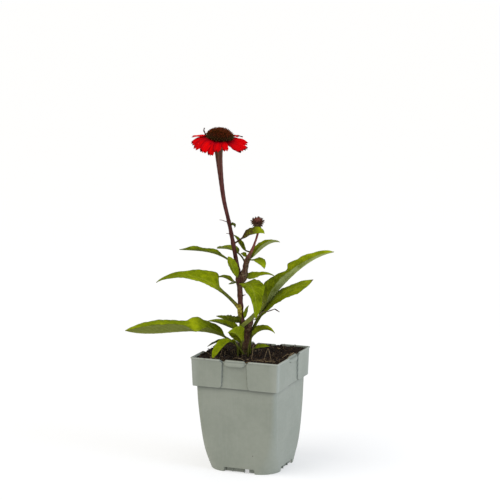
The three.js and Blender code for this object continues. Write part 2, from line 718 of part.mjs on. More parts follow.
addPiece('flower_cone', turned(coneProfile, 20), colours.cone, 0.8, head);
addPiece('involucre', turned(involucreProfile, 16), colours.involucre, 0.6, head);
florets.forEach((floret, i) => {
  const name = `ray_floret_${String(i + 1).padStart(2, '0')}`;
  addPiece(name, floretGeometry(floret), colours.floret, 0.5, head);
});

Object.entries(driedFlorets).forEach(([name, path]) => {
  addPiece(name, tubeGeometry(path, 0.45, 6, 8), colours.withered, 0.7, head);
});

Object.entries(stemScales).forEach(([name, spec]) => {
  addPiece(name, geometryOf(largestPart(scaleSolid(spec).subtract(stemsGrown[0]))), colours.withered, 0.7);
});
const strand = solidOf(tubeGeometry(strandPath, 0.6, 6, 14));
addPiece('withered_strand', geometryOf(largestPart(strand.subtract(stemsGrown[2]))), colours.dryLeaf, 0.8);

const budGroup = new THREE.Group();
budGroup.position.set(...budPlace);
plant.add(budGroup);
const budBall = new THREE.SphereGeometry(budRadius, 16, 10).rotateX(Math.PI / 2);
addPiece('bud_head', budBall, colours.bud, 0.8, budGroup);
addPiece('bud_bracts', geometryOf(budBractsSolid()), colours.bud, 0.8, budGroup);

export default plant;
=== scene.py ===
# A young coneflower in flower, in its square nursery pot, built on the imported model's frame.
# Shapes are worked out in millimetres and turned to Blender's metres as each mesh is made.

import bmesh
import bpy
import math
import numpy as np
from mathutils import Matrix, Vector, noise
from mathutils.geometry import delaunay_2d_cdt


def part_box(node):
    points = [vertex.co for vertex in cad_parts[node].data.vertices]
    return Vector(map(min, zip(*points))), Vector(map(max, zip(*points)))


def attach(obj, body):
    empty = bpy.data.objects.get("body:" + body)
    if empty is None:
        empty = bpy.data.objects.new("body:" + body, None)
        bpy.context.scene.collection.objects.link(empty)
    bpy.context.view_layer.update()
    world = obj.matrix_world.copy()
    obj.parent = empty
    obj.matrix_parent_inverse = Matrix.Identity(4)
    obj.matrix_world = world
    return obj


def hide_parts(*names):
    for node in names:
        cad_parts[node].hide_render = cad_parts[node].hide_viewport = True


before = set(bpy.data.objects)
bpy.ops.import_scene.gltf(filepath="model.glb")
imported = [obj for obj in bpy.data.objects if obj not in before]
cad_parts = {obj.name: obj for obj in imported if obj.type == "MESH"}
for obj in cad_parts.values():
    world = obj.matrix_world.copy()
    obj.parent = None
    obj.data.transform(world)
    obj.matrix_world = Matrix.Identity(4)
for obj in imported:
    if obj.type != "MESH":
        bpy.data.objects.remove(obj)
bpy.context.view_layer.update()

# ======================================================================================
# Bench, light and camera
# The pot stands on a white sweep in a white room: daylight all round, a broad soft key
# from high on the left, and a cooler lamp at the right that fills the pot's side face.
# ======================================================================================

MM = 0.001
white = (1, 1, 1, 1)

view_heading = math.radians(21.57)        # the camera's side of the pot, round from -Y towards +X
view_rise = math.radians(8.99)
view_distance = 2000
view_aim_right = -1.31                    # where the camera looks, beside and above the pot's foot
view_aim_height = 257.09
frame_pixels = 500
focal_pixels = 1715
sensor = 36

view_back = Vector((
    math.sin(view_heading) * math.cos(view_rise),
    -math.cos(view_heading) * math.cos(view_rise),
    math.sin(view_rise)))
view_right = Vector((math.cos(view_heading), math.sin(view_heading), 0))
aim = view_right * view_aim_right + Vector((0, 0, view_aim_height))


def stand(name, data):
    """Puts a camera, a lamp or a mesh into the scene."""
    placed = bpy.data.objects.new(name, data)
    bpy.context.scene.collection.objects.link(placed)
    return placed


camera_data = bpy.data.cameras.new("camera")
camera_data.sensor_width = sensor
camera_data.lens = focal_pixels / frame_pixels * sensor
camera_data.clip_end = 200
camera = stand("camera", camera_data)
camera.location = (aim + view_back * view_distance) * MM
camera.rotation_euler = view_back.to_track_quat("Z", "Y").to_euler()
bpy.context.scene.camera = camera
bpy.context.scene.view_settings.view_transform = "Standard"

daylight = 0.62                           # the walls are seen at full white, but light the pot by this
room = bpy.data.worlds.new("white_room")
room.use_nodes = True
room_nodes = room.node_tree.nodes
room_light = room_nodes["Background"]
room_light.inputs["Color"].default_value = white
room_light.inputs["Strength"].default_value = daylight
room_walls = room_nodes.new("ShaderNodeBackground")
room_walls.inputs["Color"].default_value = white
seen_or_lit = room_nodes.new("ShaderNodeMixShader")
ray = room_nodes.new("ShaderNodeLightPath")
for source, goal in ((ray.outputs["Is Camera Ray"], seen_or_lit.inputs[0]),
                     (room_light.outputs[0], seen_or_lit.inputs[1]),
                     (room_walls.outputs[0], seen_or_lit.inputs[2]),
                     (seen_or_lit.outputs[0], room_nodes["World Output"].inputs["Surface"])):
    room.node_tree.links.new(source, goal)
bpy.context.scene.world = room


def hang_lamp(name, kind, energy, colour, from_side):
    """A lamp that shines from this side on to the pot: (its place in the room, its settings)."""
    lamp = bpy.data.lights.new(name, kind)
    lamp.energy = energy
    lamp.color = colour
    hung = stand(name, lamp)
    hung.rotation_euler = from_side.to_track_quat("Z", "Y").to_euler()
    return hung, lamp


key_lamp = hang_lamp("key_light", "SUN", 1.5, (1, 0.98, 0.93), Vector((-0.42, -0.42, 0.80)))[1]
key_lamp.angle = math.radians(50)         # as broad as a large window

fill_place = Vector((1.7, -0.25, 0.55))
fill_target = Vector((0, 0, 0.1))
fill, fill_lamp = hang_lamp("right_lamp", "AREA", 17, (0.64, 0.76, 1), fill_place - fill_target)
fill_lamp.shape = "DISK"
fill_lamp.size = 1.1
fill.location = fill_place

sweep_radius = 40
sweep_corners = 96
sweep_mesh = bpy.data.meshes.new("bench_sweep")
sweep_mesh.from_pydata(
    [(sweep_radius * math.cos(2 * math.pi * k / sweep_corners),
      sweep_radius * math.sin(2 * math.pi * k / sweep_corners), 0) for k in range(sweep_corners)],
    [], [list(range(sweep_corners))])
bench = stand("bench_sweep", sweep_mesh)
bench_paint = bpy.data.materials.new("matt_white_sweep")
bench_paint.use_nodes = True
bench_shader = bench_paint.node_tree.nodes["Principled BSDF"].inputs
bench_shader["Base Color"].default_value = (0.5, 0.5, 0.5, 1)
bench_shader["Roughness"].default_value = 1.0
bench_shader["Specular IOR Level"].default_value = 0.0
bench_shader["Emission Color"].default_value = white             # an evenly lit light table
bench_shader["Emission Strength"].default_value = 0.5
sweep_mesh.materials.append(bench_paint)

# ======================================================================================
# Pot
# A square nursery pot, injection-moulded in one piece from grey-green plastic. A band
# stands out under the rim, stepped in at the middle of each side where a grip curls out.
# The foot is arched on every side, with a set-back bar behind each arch.
# ======================================================================================


class Shells:
    """Collects closed shells in millimetres, with the marks that colour them, into one piece."""

    def __init__(self):
        self.points = []
        self.faces = []
        self.marks = {}
        self.count = 0

    def add(self, shell, **marks):
        """Takes in one closed shell, faces outwards, with three values for each mark."""
        points, faces = shell
        low = points[faces[0][0]]
        volume = 0.0
        for f in faces:
            a, b, c = points[f[0]] - low, points[f[1]] - low, points[f[2]] - low
            volume += a[0] * (b[1] * c[2] - b[2] * c[1]) + a[1] * (b[2] * c[0] - b[0] * c[2])
            volume += a[2] * (b[0] * c[1] - b[1] * c[0])
        for f in faces:
            corners = f if volume > 0 else f[::-1]
            self.faces.append([c + self.count for c in corners])
        self.points.append(points)
        self.count += len(points)
        for name, values in marks.items():
            spread = np.broadcast_to(np.asarray(values, float), (len(points), 3))
            self.marks.setdefault(name, []).append(spread)

    def piece(self, name, slot, material, *nodes):
        """Makes the piece. It rides on the one body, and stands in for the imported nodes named."""
        mesh = bpy.data.meshes.new(name)
        mesh.from_pydata(np.vstack(self.points) * MM, [], self.faces)
        mesh.polygons.foreach_set("use_smooth", [True] * len(self.faces))
        for mark, values in self.marks.items():
            layer = mesh.attributes.new(mark, "FLOAT_VECTOR", "POINT")
            layer.data.foreach_set("vector", np.vstack(values).ravel())
        mesh.materials.append(material)
        mesh.update()
        made = stand(name, mesh)
        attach(made, "root")
        if nodes:
            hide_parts(*nodes)


def loft(rings, looped=False):
    """A closed skin through rings of points. Its ends are closed by fans, or joined to each other."""
    rings = np.asarray(rings, float)
    count, around = rings.shape[:2]
    here = np.arange(around)
    after = (here + 1) % around
    faces = []
    for i in range(count if looped else count - 1):
        a = i * around
        b = (i + 1) % count * around
        faces += np.stack([a + here, a + after, b + after, b + here], 1).tolist()
    points = rings.reshape(-1, 3)
    if not looped:
        points = np.vstack([points, rings[0].mean(0), rings[-1].mean(0)])
        first, last = len(points) - 2, len(points) - 1
        end = (count - 1) * around
        faces += [[first, int(after[j]), int(here[j])] for j in range(around)]
        faces += [[last, int(end + here[j]), int(end + after[j])] for j in range(around)]
    return points, faces


def for_loft(marks):
    """Marks for every point of a lofted skin, given those of its rings: its two end points follow."""
    return np.vstack([marks, marks[:1], marks[-1:]])


def eased(t, start, end, leave, arrive):
    """From start to end as t goes from 0 to 1, with these slopes at the two ends."""
    return ((2 * t ** 3 - 3 * t ** 2 + 1) * start + (t ** 3 - 2 * t ** 2 + t) * leave
            + (3 * t ** 2 - 2 * t ** 3) * end + (t ** 3 - t ** 2) * arrive)


def hermite(table, at):
    """A smooth curve through (place, value) pairs."""
    places, values = np.array(table, float).T
    slopes = np.gradient(values, places)
    at = np.clip(at, places[0], places[-1])
    i = np.clip(np.searchsorted(places, at) - 1, 0, len(places) - 2)
    span = places[i + 1] - places[i]
    t = (at - places[i]) / span
    return eased(t, values[i], values[i + 1], span * slopes[i], span * slopes[i + 1])


def smooth(x, low=0.0, high=1.0):
    """0 at low, 1 at high, and an even ease between."""
    t = np.clip((np.asarray(x, float) - low) / (high - low), 0, 1)
    return t * t * (3 - 2 * t)


def hump(x, centre, spread):
    """1 at the centre, dying away on both sides."""
    return np.exp(-((x - centre) / spread) ** 2)


pot_low, pot_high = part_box("pot")
pot_height = pot_high.z / MM
rim_side = (pot_high.x - pot_low.x) / MM
band_height = 34
band_foot = pot_height - band_height
band_foot_side = 106
lip_overhang = 0.9
lip_height = 1.6
wall = 1.4
floor_underside = 6
floor_thickness = 1.6
skirt_thickness = 2
body_side = [(0, 86), (4, 86.8), (10, 88), (20, 90.3), (32, 92.2), (46, 94), (62, 96), (80, 98),
             (band_foot, 99.4), (pot_height, 101)]
body_corner = [(0, 25), (4, 22.5), (10, 18.8), (20, 14), (32, 10), (46, 7.5), (62, 6.2), (80, 5.5),
               (pot_height, 5)]
band_corner = 2.2
channel_depth = 2.6
channel_face = rim_side / 2 - lip_overhang - channel_depth
channel_half_foot = 15.5
channel_half_top = 14
channel_flare = 4.5
side_groove = 0.7                         # the fine groove where a channel's floor meets its sides
rim_dip = 2.9                             # how far the rim drops over each channel
arch_half = 19
arch_height = 5.5
arch_end = 10                             # above this level the foot is whole again
foot_sway = 1.7                           # the soft body leans a little to the right at its foot
sway_height = 88


def square_reach(angle, side, corner):
    """How far a square with round corners reaches from its middle, in each direction."""
    across = np.maximum(abs(np.cos(angle)), abs(np.sin(angle)))
    along = np.minimum(abs(np.cos(angle)), abs(np.sin(angle)))
    middle = side / 2 - corner
    flat = side / 2 / across
    both = across + along
    arc = middle * both + np.sqrt(np.maximum(middle ** 2 * both ** 2 - 2 * middle ** 2 + corner ** 2, 0))
    return np.where(flat * along <= middle, flat, arc)


half_face_span = 52
half_face = np.concatenate([              # stations from a side's middle, close together where it bends
    np.arange(0, 12.6, 1.4), np.arange(12.6, 21, 0.28), np.arange(21, 45, 1.5), np.arange(45, 51.9, 0.34)])
one_face = np.arctan(np.concatenate([[-half_face_span], -half_face[:0:-1], half_face]) / half_face_span)
pot_angles = np.concatenate([one_face + k * math.pi / 2 for k in range(4)])
off_middle = np.minimum(abs(np.cos(pot_angles)), abs(np.sin(pot_angles)))
off_face = np.maximum(abs(np.cos(pot_angles)), abs(np.sin(pot_angles)))


def spun(reach, angles, height):
    """Points this far out in each direction, all at one height or each at its own."""
    return np.stack([reach * np.cos(angles), reach * np.sin(angles), height + 0 * angles], 1)


def body_reach(height, thinner=0.0):
    """How far the body stands out at this height, all round. Thinner: how far inside its face."""
    return square_reach(pot_angles, hermite(body_side, height) - 2 * thinner,
                        np.maximum(hermite(body_corner, height) - thinner, 0.8))


def block_share(height):
    """1 on the blocks of the band and 0 in the stepped-in channels between them."""
    half = np.interp(height, [band_foot, pot_height], [channel_half_foot, channel_half_top])
    down = np.clip((band_foot + channel_flare - height) / channel_flare, 0, 1)
    half += channel_flare * (1 - math.sqrt(1 - down ** 2))      # a channel runs out wide at its foot
    soft = 0.55 + 3.2 * smooth(height, pot_height - 4.5, pot_height)
    return smooth(off_middle * channel_face / off_face, half, half + soft)


def band_reach(height, share, overhang=0.0, thinner=0.0):
    """How far the band stands out all round: none of its step with share 0, all of it with 1."""
    side = np.interp(height, [band_foot, pot_height], [band_foot_side, rim_side - 2 * lip_overhang])
    band = square_reach(pot_angles, side - 2 * thinner, max(band_corner - thinner, 0.7))
    body = body_reach(height, thinner)
    channel = np.maximum(body, (channel_face - thinner) / off_face)
    share_here = block_share(height)
    groove = side_groove * smooth(share_here, 0, 0.04) * (1 - smooth(share_here, 0.04, 0.5))
    outer = channel - groove + (np.maximum(band, body) - channel) * share_here
    return body + (outer - body) * share + overhang


def pot_ring(height, reach):
    """A ring at this height. Near the rim it dips a little over each channel."""
    dip = rim_dip * (1 - block_share(min(height, pot_height))) * smooth(height, pot_height - 6, pot_height)
    heights = height - (dip if height > band_foot else 0)
    return spun(reach, pot_angles, heights)


arch_line = arch_height * (1 - smooth(off_middle * hermite(body_side, 0) / 2 / off_face,
                                      arch_half - 0.5, arch_half + 0.5))


def foot_ring(share, thinner):
    """A ring between the skirt's lower edge (share 0) and the level where the arches have ended."""
    heights = arch_line * (1 - share) + arch_end * share
    reach = np.array([body_reach(h, thinner)[i] for i, h in enumerate(heights)])
    return spun(reach, pot_angles, heights)


def lean(shell):
    """The shell with its foot pushed aside, as the soft body stands."""
    points, faces = shell
    shift = foot_sway * np.clip(1 - points[:, 2] / sway_height, 0, 1)
    moved = points.copy()
    moved[:, 0] += shift * view_right.x
    moved[:, 1] += shift * view_right.y
    return moved, faces


skirt_inside = [(0.6, 0), (0.2, 0), (0.03, 0), (0, 0.5), (0, 1.5)]       # share up the foot, skirt cut off
skirt_outside = [(0.03, 0.1), (0.08, 0), (0.3, 0), (0.6, 0), (1, 0)]     # share up the foot, inset
under_band = [(-0.1, 0), (0.0, 0.06), (0.05, 0.8), (0.2, 0.94), (0.55, 1)]      # height, share of the step
up_band = np.concatenate([np.arange(1.0, 5.6, 0.45), np.arange(6.6, 28, 1.7), np.arange(28.4, 32.2, 0.5)])
lip_foot = pot_height - lip_height
lip_section = [(0, 0), (0.05, 0.7), (0.3, 0.9), (1.2, 0.9), (1.5, 0.65), (1.6, 0.3)]     # height, overhang
inside_band = (133.6, 132, 130, 127, 123, 117, 110, 105, 103.6)
inside_body = (103, 90, 70, 50, 30, 20, 12)
lip_inner_bevel = 0.3

pot_rings = [pot_ring(h, body_reach(h, skirt_thickness)) for h in (9, 8)]
pot_rings += [foot_ring(share, skirt_thickness - cut) for share, cut in skirt_inside]
pot_rings += [foot_ring(share, thinner) for share, thinner in skirt_outside]
pot_rings += [pot_ring(h, body_reach(h)) for h in np.arange(12.5, band_foot - 3, 2.4)]
pot_rings += [pot_ring(h, body_reach(h)) for h in (band_foot - 2.2, band_foot - 1.2, band_foot - 0.5)]
pot_rings += [pot_ring(band_foot + up, band_reach(band_foot + up, share)) for up, share in under_band]
pot_rings += [pot_ring(band_foot + up, band_reach(band_foot + up, 1)) for up in up_band]
pot_rings += [pot_ring(lip_foot + up, band_reach(lip_foot + up, 1, out)) for up, out in lip_section]
pot_rings += [pot_ring(pot_height - drop, band_reach(pot_height, 1, 0, wall - lip_inner_bevel + drop))
              for drop in (0, lip_inner_bevel)]
pot_rings += [pot_ring(h, band_reach(h, 1, 0, wall)) for h in inside_band]
pot_rings += [pot_ring(h, body_reach(h, wall)) for h in inside_body]

pot = Shells()
pot_wear = []                             # where the plastic is rubbed pale: lip, corners, foot
pot_fold = []                             # painted shade in the creases and the foot, painted shadow under the band, darker inner wall above the mix
for ring in pot_rings:
    height = ring[:, 2]
    reach = np.hypot(ring[:, 0], ring[:, 1])
    outside = smooth(reach, 47, 50)
    share = block_share(min(float(height.max()), pot_height))
    # Painted shade on the side walls of each channel, where the band's blocks stand over it.
    crease_shade = np.where(height > band_foot - 0.3, 4 * share * (1 - share), 0) * outside
    line = smooth(height, band_foot - 1.9, band_foot - 0.9)
    under = 0.4 * smooth(height, band_foot - 6, band_foot - 1) + 0.6 * line
    under = under * (height < band_foot + 0.3) * outside
    near_lip = smooth(height, pot_height - 2.4, pot_height - 0.6)
    near_corner = smooth(reach, 68.5, 74)
    pot_wear.append(np.stack([near_lip, near_corner, smooth(height, 16, 0)], 1))
    # Darker on the inner wall, from above the mix to just under the rim.
    soiled = (1 - outside) * smooth(height, 112, 120) * smooth(height, pot_height + 0.2, pot_height - 1.4)
    pot_fold.append(np.stack([crease_shade, under, soiled], 1))
pot.add(lean(loft(pot_rings, looped=True)), wear=np.vstack(pot_wear), fold=np.vstack(pot_fold))

grip_swell = 3.2                          # how far a grip leans out
grip_tall = 7.2
grip_below_rim = 0.3
grip_end_drop = 2.4                       # its ends sink into the rim
grip_side_gap = 0.15
grip_stations = 26
grip_section = [(-0.8, 0), (-0.1, 0), (0.5, 0.02), (0.95, 0.08), (1.15, 0.17), (1.5, 0.23), (2.2, 0.33),
                (2.8, 0.48), (grip_swell, 0.68), (grip_swell, 0.9), (2.9, 1), (2.3, 1.02), (0.1, 0.92),
                (-0.8, 0.9)]              # out from the channel's face, share of its height down


def swing(x, y, turn):
    """A place on the side that faces +X, moved round the pot."""
    return x * math.cos(turn) - y * math.sin(turn), x * math.sin(turn) + y * math.cos(turn)


def grip_shell(turn):
    """A rolled grip: a lip that stands in the dipped rim, leans out and is cut off underneath."""
    rings = []
    for across in np.linspace(-1, 1, 2 * grip_stations + 1):
        swell = 1.002 - abs(across) ** 6
        sunk = grip_end_drop * float(smooth(abs(across), 0.78, 1))
        top = pot_height - grip_below_rim - sunk
        tall = grip_tall * (0.5 + 0.5 * swell) - sunk
        rings.append([(*swing(channel_face + (out * swell if out > 0 else out),
                              across * (channel_half_top - grip_side_gap), turn), top - down * tall)
                      for out, down in grip_section])
    downs = np.array(grip_section)[:, 1]
    # Painted shade: the whole grip very slightly darker, with a dark line under its top lip and along its
    # cut-off underside.
    crease_shade = 0.14 + 0.5 * hump(downs, 0.27, 0.08) + 0.4 * (downs > 0.95)
    marks = np.tile(np.stack([crease_shade, 0 * crease_shade, 0 * crease_shade], 1), (len(rings), 1))
    return loft(rings), for_loft(marks)


bar_foot = 0.8
bar_top = 6.9
bar_half = 0.7
bar_set_back = 39.6
bar_spans = [(-18.3, 6.3), (11.8, 19.4)]
stub_places = [-18, -8.4, 6]              # short ties from each bar to the skirt
stub_half = 0.45
stub_reach = 2.6
rib_half = 0.8                            # one rib runs from each side's bar to the pad
rib_foot = 2
rib_end = 12
tie_top = 6.8                             # the ties and the rib stop just under the floor plate


def block_shell(low, high, bevel, turn):
    """A moulded bar with small round edges, turned to its side of the pot."""
    low, high = np.array(low, float), np.array(high, float)
    middle, half = (low + high) / 2, (high - low) / 2
    angles = np.linspace(0, 2 * math.pi, 16, endpoint=False) + math.pi / 16
    rings = []
    levels = [(-1, bevel), (-1 + 0.3 * bevel / half[2], 0.3 * bevel), (-1 + bevel / half[2], 0)]
    levels += [(-level, inset) for level, inset in levels[::-1]]
    for level, inset in levels:
        ring = []
        for angle in angles:
            x = np.clip(math.cos(angle) * 1.42, -1, 1) * (half[0] - inset) + middle[0]
            y = np.clip(math.sin(angle) * 1.42, -1, 1) * (half[1] - inset) + middle[1]
            ring.append((*swing(x, y, turn), middle[2] + half[2] * level))
        rings.append(ring)
    return loft(rings)


# The bars, ties, rib, floor and pad inside the foot take painted shade, and dust.
plain = {"wear": (0, 0, 0.6), "fold": (0.45, 0, 0)}
for side in range(4):
    turn = side * math.pi / 2
    grip, grip_fold = grip_shell(turn - math.pi / 2)
    pot.add(grip, wear=(0.12, 0, 0), fold=grip_fold)
    blocks = [((start, -bar_set_back - bar_half, bar_foot), (end, -bar_set_back + bar_half, bar_top), 0.25)
              for start, end in bar_spans]
    blocks += [((x - stub_half, -bar_set_back - stub_reach, bar_foot),
                (x + stub_half, -bar_set_back, tie_top), 0.15) for x in stub_places]
    blocks.append(((-rib_half, -bar_set_back, rib_foot), (rib_half, -rib_end, tie_top), 0.2))
    for low, high, bevel in blocks:
        pot.add(lean(block_shell(low, high, bevel, turn)), **plain)

drain_radius = 3.6
drain_places = [(21, 21), (27, 8), (27, -8)]
drain_corners = 20
pad_radius = 13
pad_section = [(pad_radius - 2.2, 6.4), (pad_radius - 2, 0.4), (pad_radius - 1.6, 0), (pad_radius - 0.5, 0),
               (pad_radius, 0.5), (pad_radius, 6.4)]


def all_round(corners):
    """Evenly spaced directions."""
    return np.linspace(0, 2 * math.pi, corners, endpoint=False)


def floor_shell():
    """The pot's floor: a plate with twelve drain holes."""
    outline = pot_ring(floor_underside, body_reach(floor_underside, wall - 0.3))[::4, :2]
    loops = [outline]
    for quarter in range(4):
        for x, y in drain_places:
            middle = swing(x, y, quarter * math.pi / 2)
            loops.append(spun(drain_radius, all_round(drain_corners), 0)[:, :2] + middle)
    flat, edges = [], []
    for points in loops:
        start = len(flat)
        flat += [Vector(p) for p in points]
        edges += [(start + k, start + (k + 1) % len(points)) for k in range(len(points))]
    inside_with_holes = 5
    flat, _, faces = delaunay_2d_cdt(flat, edges, [], inside_with_holes, 1e-6)[:3]
    count = len(flat)
    levels = [(floor_underside, faces), (floor_underside + floor_thickness, [f[::-1] for f in faces])]
    points = np.array([(p.x, p.y, z) for z, _ in levels for p in flat])
    shell = [[c + count * k for c in f] for k, (_, part) in enumerate(levels) for f in part]
    sides = {(f[k], f[(k + 1) % 3]): True for f in faces for k in range(3)}
    shell += [[b, a, a + count, b + count] for a, b in sides if (b, a) not in sides]
    return points, shell


pot.add(lean(floor_shell()), **plain)
pot.add(lean(loft([spun(r, all_round(48), z) for r, z in pad_section])), **plain)


class Wiring:
    """Places shader nodes in one tree and joins them."""

    def __init__(self, tree):
        self.tree = tree

    def feed(self, socket, value):
        """Links another node's output to the socket, or sets it. A colour is given without its alpha."""
        if isinstance(value, bpy.types.NodeSocket):
            self.tree.links.new(value, socket)
        else:
            socket.default_value = (*value, 1) if socket.type == "RGBA" else value

    def add(self, kind, settings=None, **values):
        """A new node, with its settings and what feeds its inputs."""
        node = self.tree.nodes.new("ShaderNode" + kind)
        for name, value in (settings or {}).items():
            setattr(node, name, value)
        for name, value in values.items():
            self.feed(node.inputs[name.replace("_", " ")], value)
        return node

    def mark(self, name):
        """The three values that the mesh carries under this name."""
        carried = self.add("Attribute", {"attribute_name": name})
        parts = self.add("SeparateXYZ", Vector=carried.outputs["Vector"])
        return [parts.outputs[k] for k in range(3)]

    def maths(self, kind, a, b=0.0):
        node = self.add("Math", {"operation": kind})
        self.feed(node.inputs[0], a)
        self.feed(node.inputs[1], b)
        return node.outputs[0]

    def plus(self, a, b):
        return self.maths("ADD", a, b)

    def minus(self, a, b):
        return self.maths("SUBTRACT", a, b)

    def times(self, a, b):
        return self.maths("MULTIPLY", a, b)

    def between(self, value, low, high):
        """0 below low, 1 above high, and smooth between."""
        node = self.add("MapRange", {"interpolation_type": "SMOOTHSTEP"}, Value=value)
        self.feed(node.inputs["From Min"], low)
        self.feed(node.inputs["From Max"], high)
        return node.outputs["Result"]

    def mix(self, share, a, b):
        node = self.add("Mix", {"data_type": "RGBA"})
        self.feed(node.inputs[0], share)
        self.feed(node.inputs[6], a)
        self.feed(node.inputs[7], b)
        return node.outputs[2]

    def laid(self, ground, colour, mask, amount):
        """The ground with this much of a colour laid over it where the mask is."""
        return self.mix(self.times(mask, amount), ground, colour)

    def noise(self, vector, scale, detail=3.0, roughness=0.5):
        node = self.add("TexNoise", Vector=vector, Scale=scale, Detail=detail, Roughness=roughness)
        return node.outputs["Fac"]

    def stretched(self, vector, along):
        """The place scaled along each axis, which draws a pattern out along the smallest."""
        return self.add("Mapping", Vector=vector, Scale=along).outputs["Vector"]

    def bump(self, height, distance, strength=1.0):
        node = self.add("Bump", Height=height, Distance=distance, Strength=strength)
        return node.outputs["Normal"]


def effect(name, inputs, outputs):
    """An empty shader node group and the wiring inside it: (group, wiring, its inputs, its outputs)."""
    tree = bpy.data.node_groups.new(name, "ShaderNodeTree")
    for socket, kind in inputs.items():
        tree.interface.new_socket(name=socket, in_out="INPUT", socket_type="NodeSocket" + kind)
    for socket, kind in outputs.items():
        tree.interface.new_socket(name=socket, in_out="OUTPUT", socket_type="NodeSocket" + kind)
    inside = Wiring(tree)
    return tree, inside, tree.nodes.new("NodeGroupInput").outputs, tree.nodes.new("NodeGroupOutput").inputs


def place_effect(wiring, tree, **values):
    """An effect's group set in a material, with its own values: the group's outputs."""
    node = wiring.tree.nodes.new("ShaderNodeGroup")
    node.node_tree = tree
    for name, value in values.items():
        wiring.feed(node.inputs[name.replace("_", " ")], value)
    return node.outputs


def finish(name, roughness, specular):
    """A new material: (material, wiring, its Principled shader's inputs, place on the object)."""
    material = bpy.data.materials.new(name)
    material.use_nodes = True
    shader = material.node_tree.nodes["Principled BSDF"].inputs
    shader["Roughness"].default_value = roughness
    shader["Specular IOR Level"].default_value = specular
    wiring = Wiring(material.node_tree)
    return material, wiring, shader, wiring.add("TexCoord").outputs["Object"]


# Two colours in soft clouds with a finer grain over them: moulded plastic, peat, bracts and dead skin.
mottle, w, given, out = effect(
    "mottle", {"Place": "Vector", "Size": "Float", "Dark": "Color", "Pale": "Color"},
    {"Color": "Color", "Mask": "Float"})
clouds = w.noise(given["Place"], given["Size"], 4, 0.6)
grain = w.noise(given["Place"], w.times(given["Size"], 9), 2, 0.6)
mottle_mask = w.plus(w.times(clouds, 0.72), w.times(grain, 0.28))
mottle_share = w.between(mottle_mask, 0.36, 0.64)
w.feed(out["Color"], w.mix(mottle_share, given["Dark"], given["Pale"]))
w.feed(out["Mask"], mottle_share)

pot_colours = {
    "dark": (0.229, 0.247, 0.200), "pale": (0.258, 0.274, 0.224), "draw_mark": (0.285, 0.30, 0.262),
    "rubbed_rim": (0.41, 0.43, 0.375), "rubbed_corner": (0.37, 0.39, 0.35), "crease_shade": (0.07, 0.08, 0.07),
    "shadow": (0.09, 0.1, 0.085), "dust": (0.20, 0.185, 0.14), "speck": (0.09, 0.07, 0.05),
    "grime": (0.10, 0.085, 0.065), "soil": (0.022, 0.021, 0.016),
}

pot_plastic, w, shader, place = finish("grey_green_moulded_plastic", 0.5, 0.34)
near_lip, near_corner, near_foot = w.mark("wear")
crease_shade, under_shade, soiled = w.mark("fold")
plastic = place_effect(w, mottle, Place=place, Size=22.0, Dark=pot_colours["dark"], Pale=pot_colours["pale"])
draw_marks = w.noise(w.stretched(place, (420, 420, 9)), 1.0, 2, 0.5)
drawn = w.laid(plastic["Color"], pot_colours["draw_mark"], w.between(draw_marks, 0.5, 0.8), 0.22)
rim_pale = w.laid(drawn, pot_colours["rubbed_rim"], near_lip, 0.5)
edge_pale = w.laid(rim_pale, pot_colours["rubbed_corner"], near_corner, 0.3)
# Painted shade: the dark crease colour on the channel walls, the grip and the parts inside the foot.
crease_shaded = w.laid(edge_pale, pot_colours["crease_shade"], w.between(crease_shade, 0.1, 0.8), 0.8)
shaded = w.laid(crease_shaded, pot_colours["shadow"], under_shade, 0.62)
dust = w.between(w.noise(place, 90, 5, 0.72), 0.56, 0.74)
dusty = w.laid(shaded, pot_colours["dust"], w.times(dust, near_foot), 0.45)
specks = w.add("TexVoronoi", Vector=place, Scale=95.0, Randomness=1.0)
speck = w.maths("LESS_THAN", specks.outputs["Distance"], 0.07)
few = w.between(w.noise(place, 16, 2), 0.58, 0.64)
specked = w.laid(dusty, pot_colours["speck"], w.times(speck, few), 0.75)
rim_grime = w.times(near_lip, w.between(w.noise(place, 260, 3, 0.7), 0.58, 0.68))
grimy = w.laid(specked, pot_colours["grime"], rim_grime, 0.6)
darker_patches = w.plus(w.times(w.between(w.noise(place, 150, 4, 0.7), 0.35, 0.6), 0.5), 0.45)
# Last, the inner wall above the mix is laid darker, in patches.
w.feed(shader["Base Color"], w.laid(grimy, pot_colours["soil"], soiled, darker_patches))
scuff = w.noise(w.stretched(place, (60, 60, 300)), 1.0, 4, 0.7)
w.feed(shader["Roughness"], w.plus(w.times(scuff, 0.22), 0.4))
skin_grain = w.noise(place, 1500, 2)
w.feed(shader["Normal"], w.bump(w.plus(w.times(skin_grain, 0.3), draw_marks), 0.00006, 0.5))
pot.piece("pot_shell", "pot_plastic", pot_plastic, "pot")

# ======================================================================================
# Potting mix
# Loose dark peat with bark crumbs and pale dead roots, filled to just under the rim. It is
# heaped a little round the crown and behind it, and pressed level towards the front.
# ======================================================================================

mix_level = pot_height - 6.6
wall_clearance = 0.05
mix_seed = 41
mix_colours = {"peat": (0.0065, 0.0048, 0.0040), "crumb": (0.024, 0.0165, 0.0125),
               "lump": (0.045, 0.028, 0.019), "bark": (0.12, 0.068, 0.036), "straw": (0.42, 0.31, 0.17)}


def mix_height(x, y):
    """The even lie of the mix, without its crumbs."""
    crown_heap = 2.6 * hump(np.hypot(x + 6, y + 4), 0, 20)
    side_heap = 3.2 * hump(np.hypot(x + 47, y), 0, 15)
    lumps = 0.5 * np.sin(x * 0.42 + 1) * np.cos(y * 0.37) + 0.35 * np.sin(x * 0.83 - y * 0.71)
    left_bank = 5 * smooth(-x, 20, 50) * (0.75 + 0.25 * smooth(y, -50, -20)) * (1 - 0.75 * smooth(y, 5, 40))
    far_rise = 5.2 * smooth(y, -10, 46) * (1 - 0.35 * smooth(-x, 0, 40))
    return mix_level + crown_heap + side_heap + left_bank + far_rise + lumps


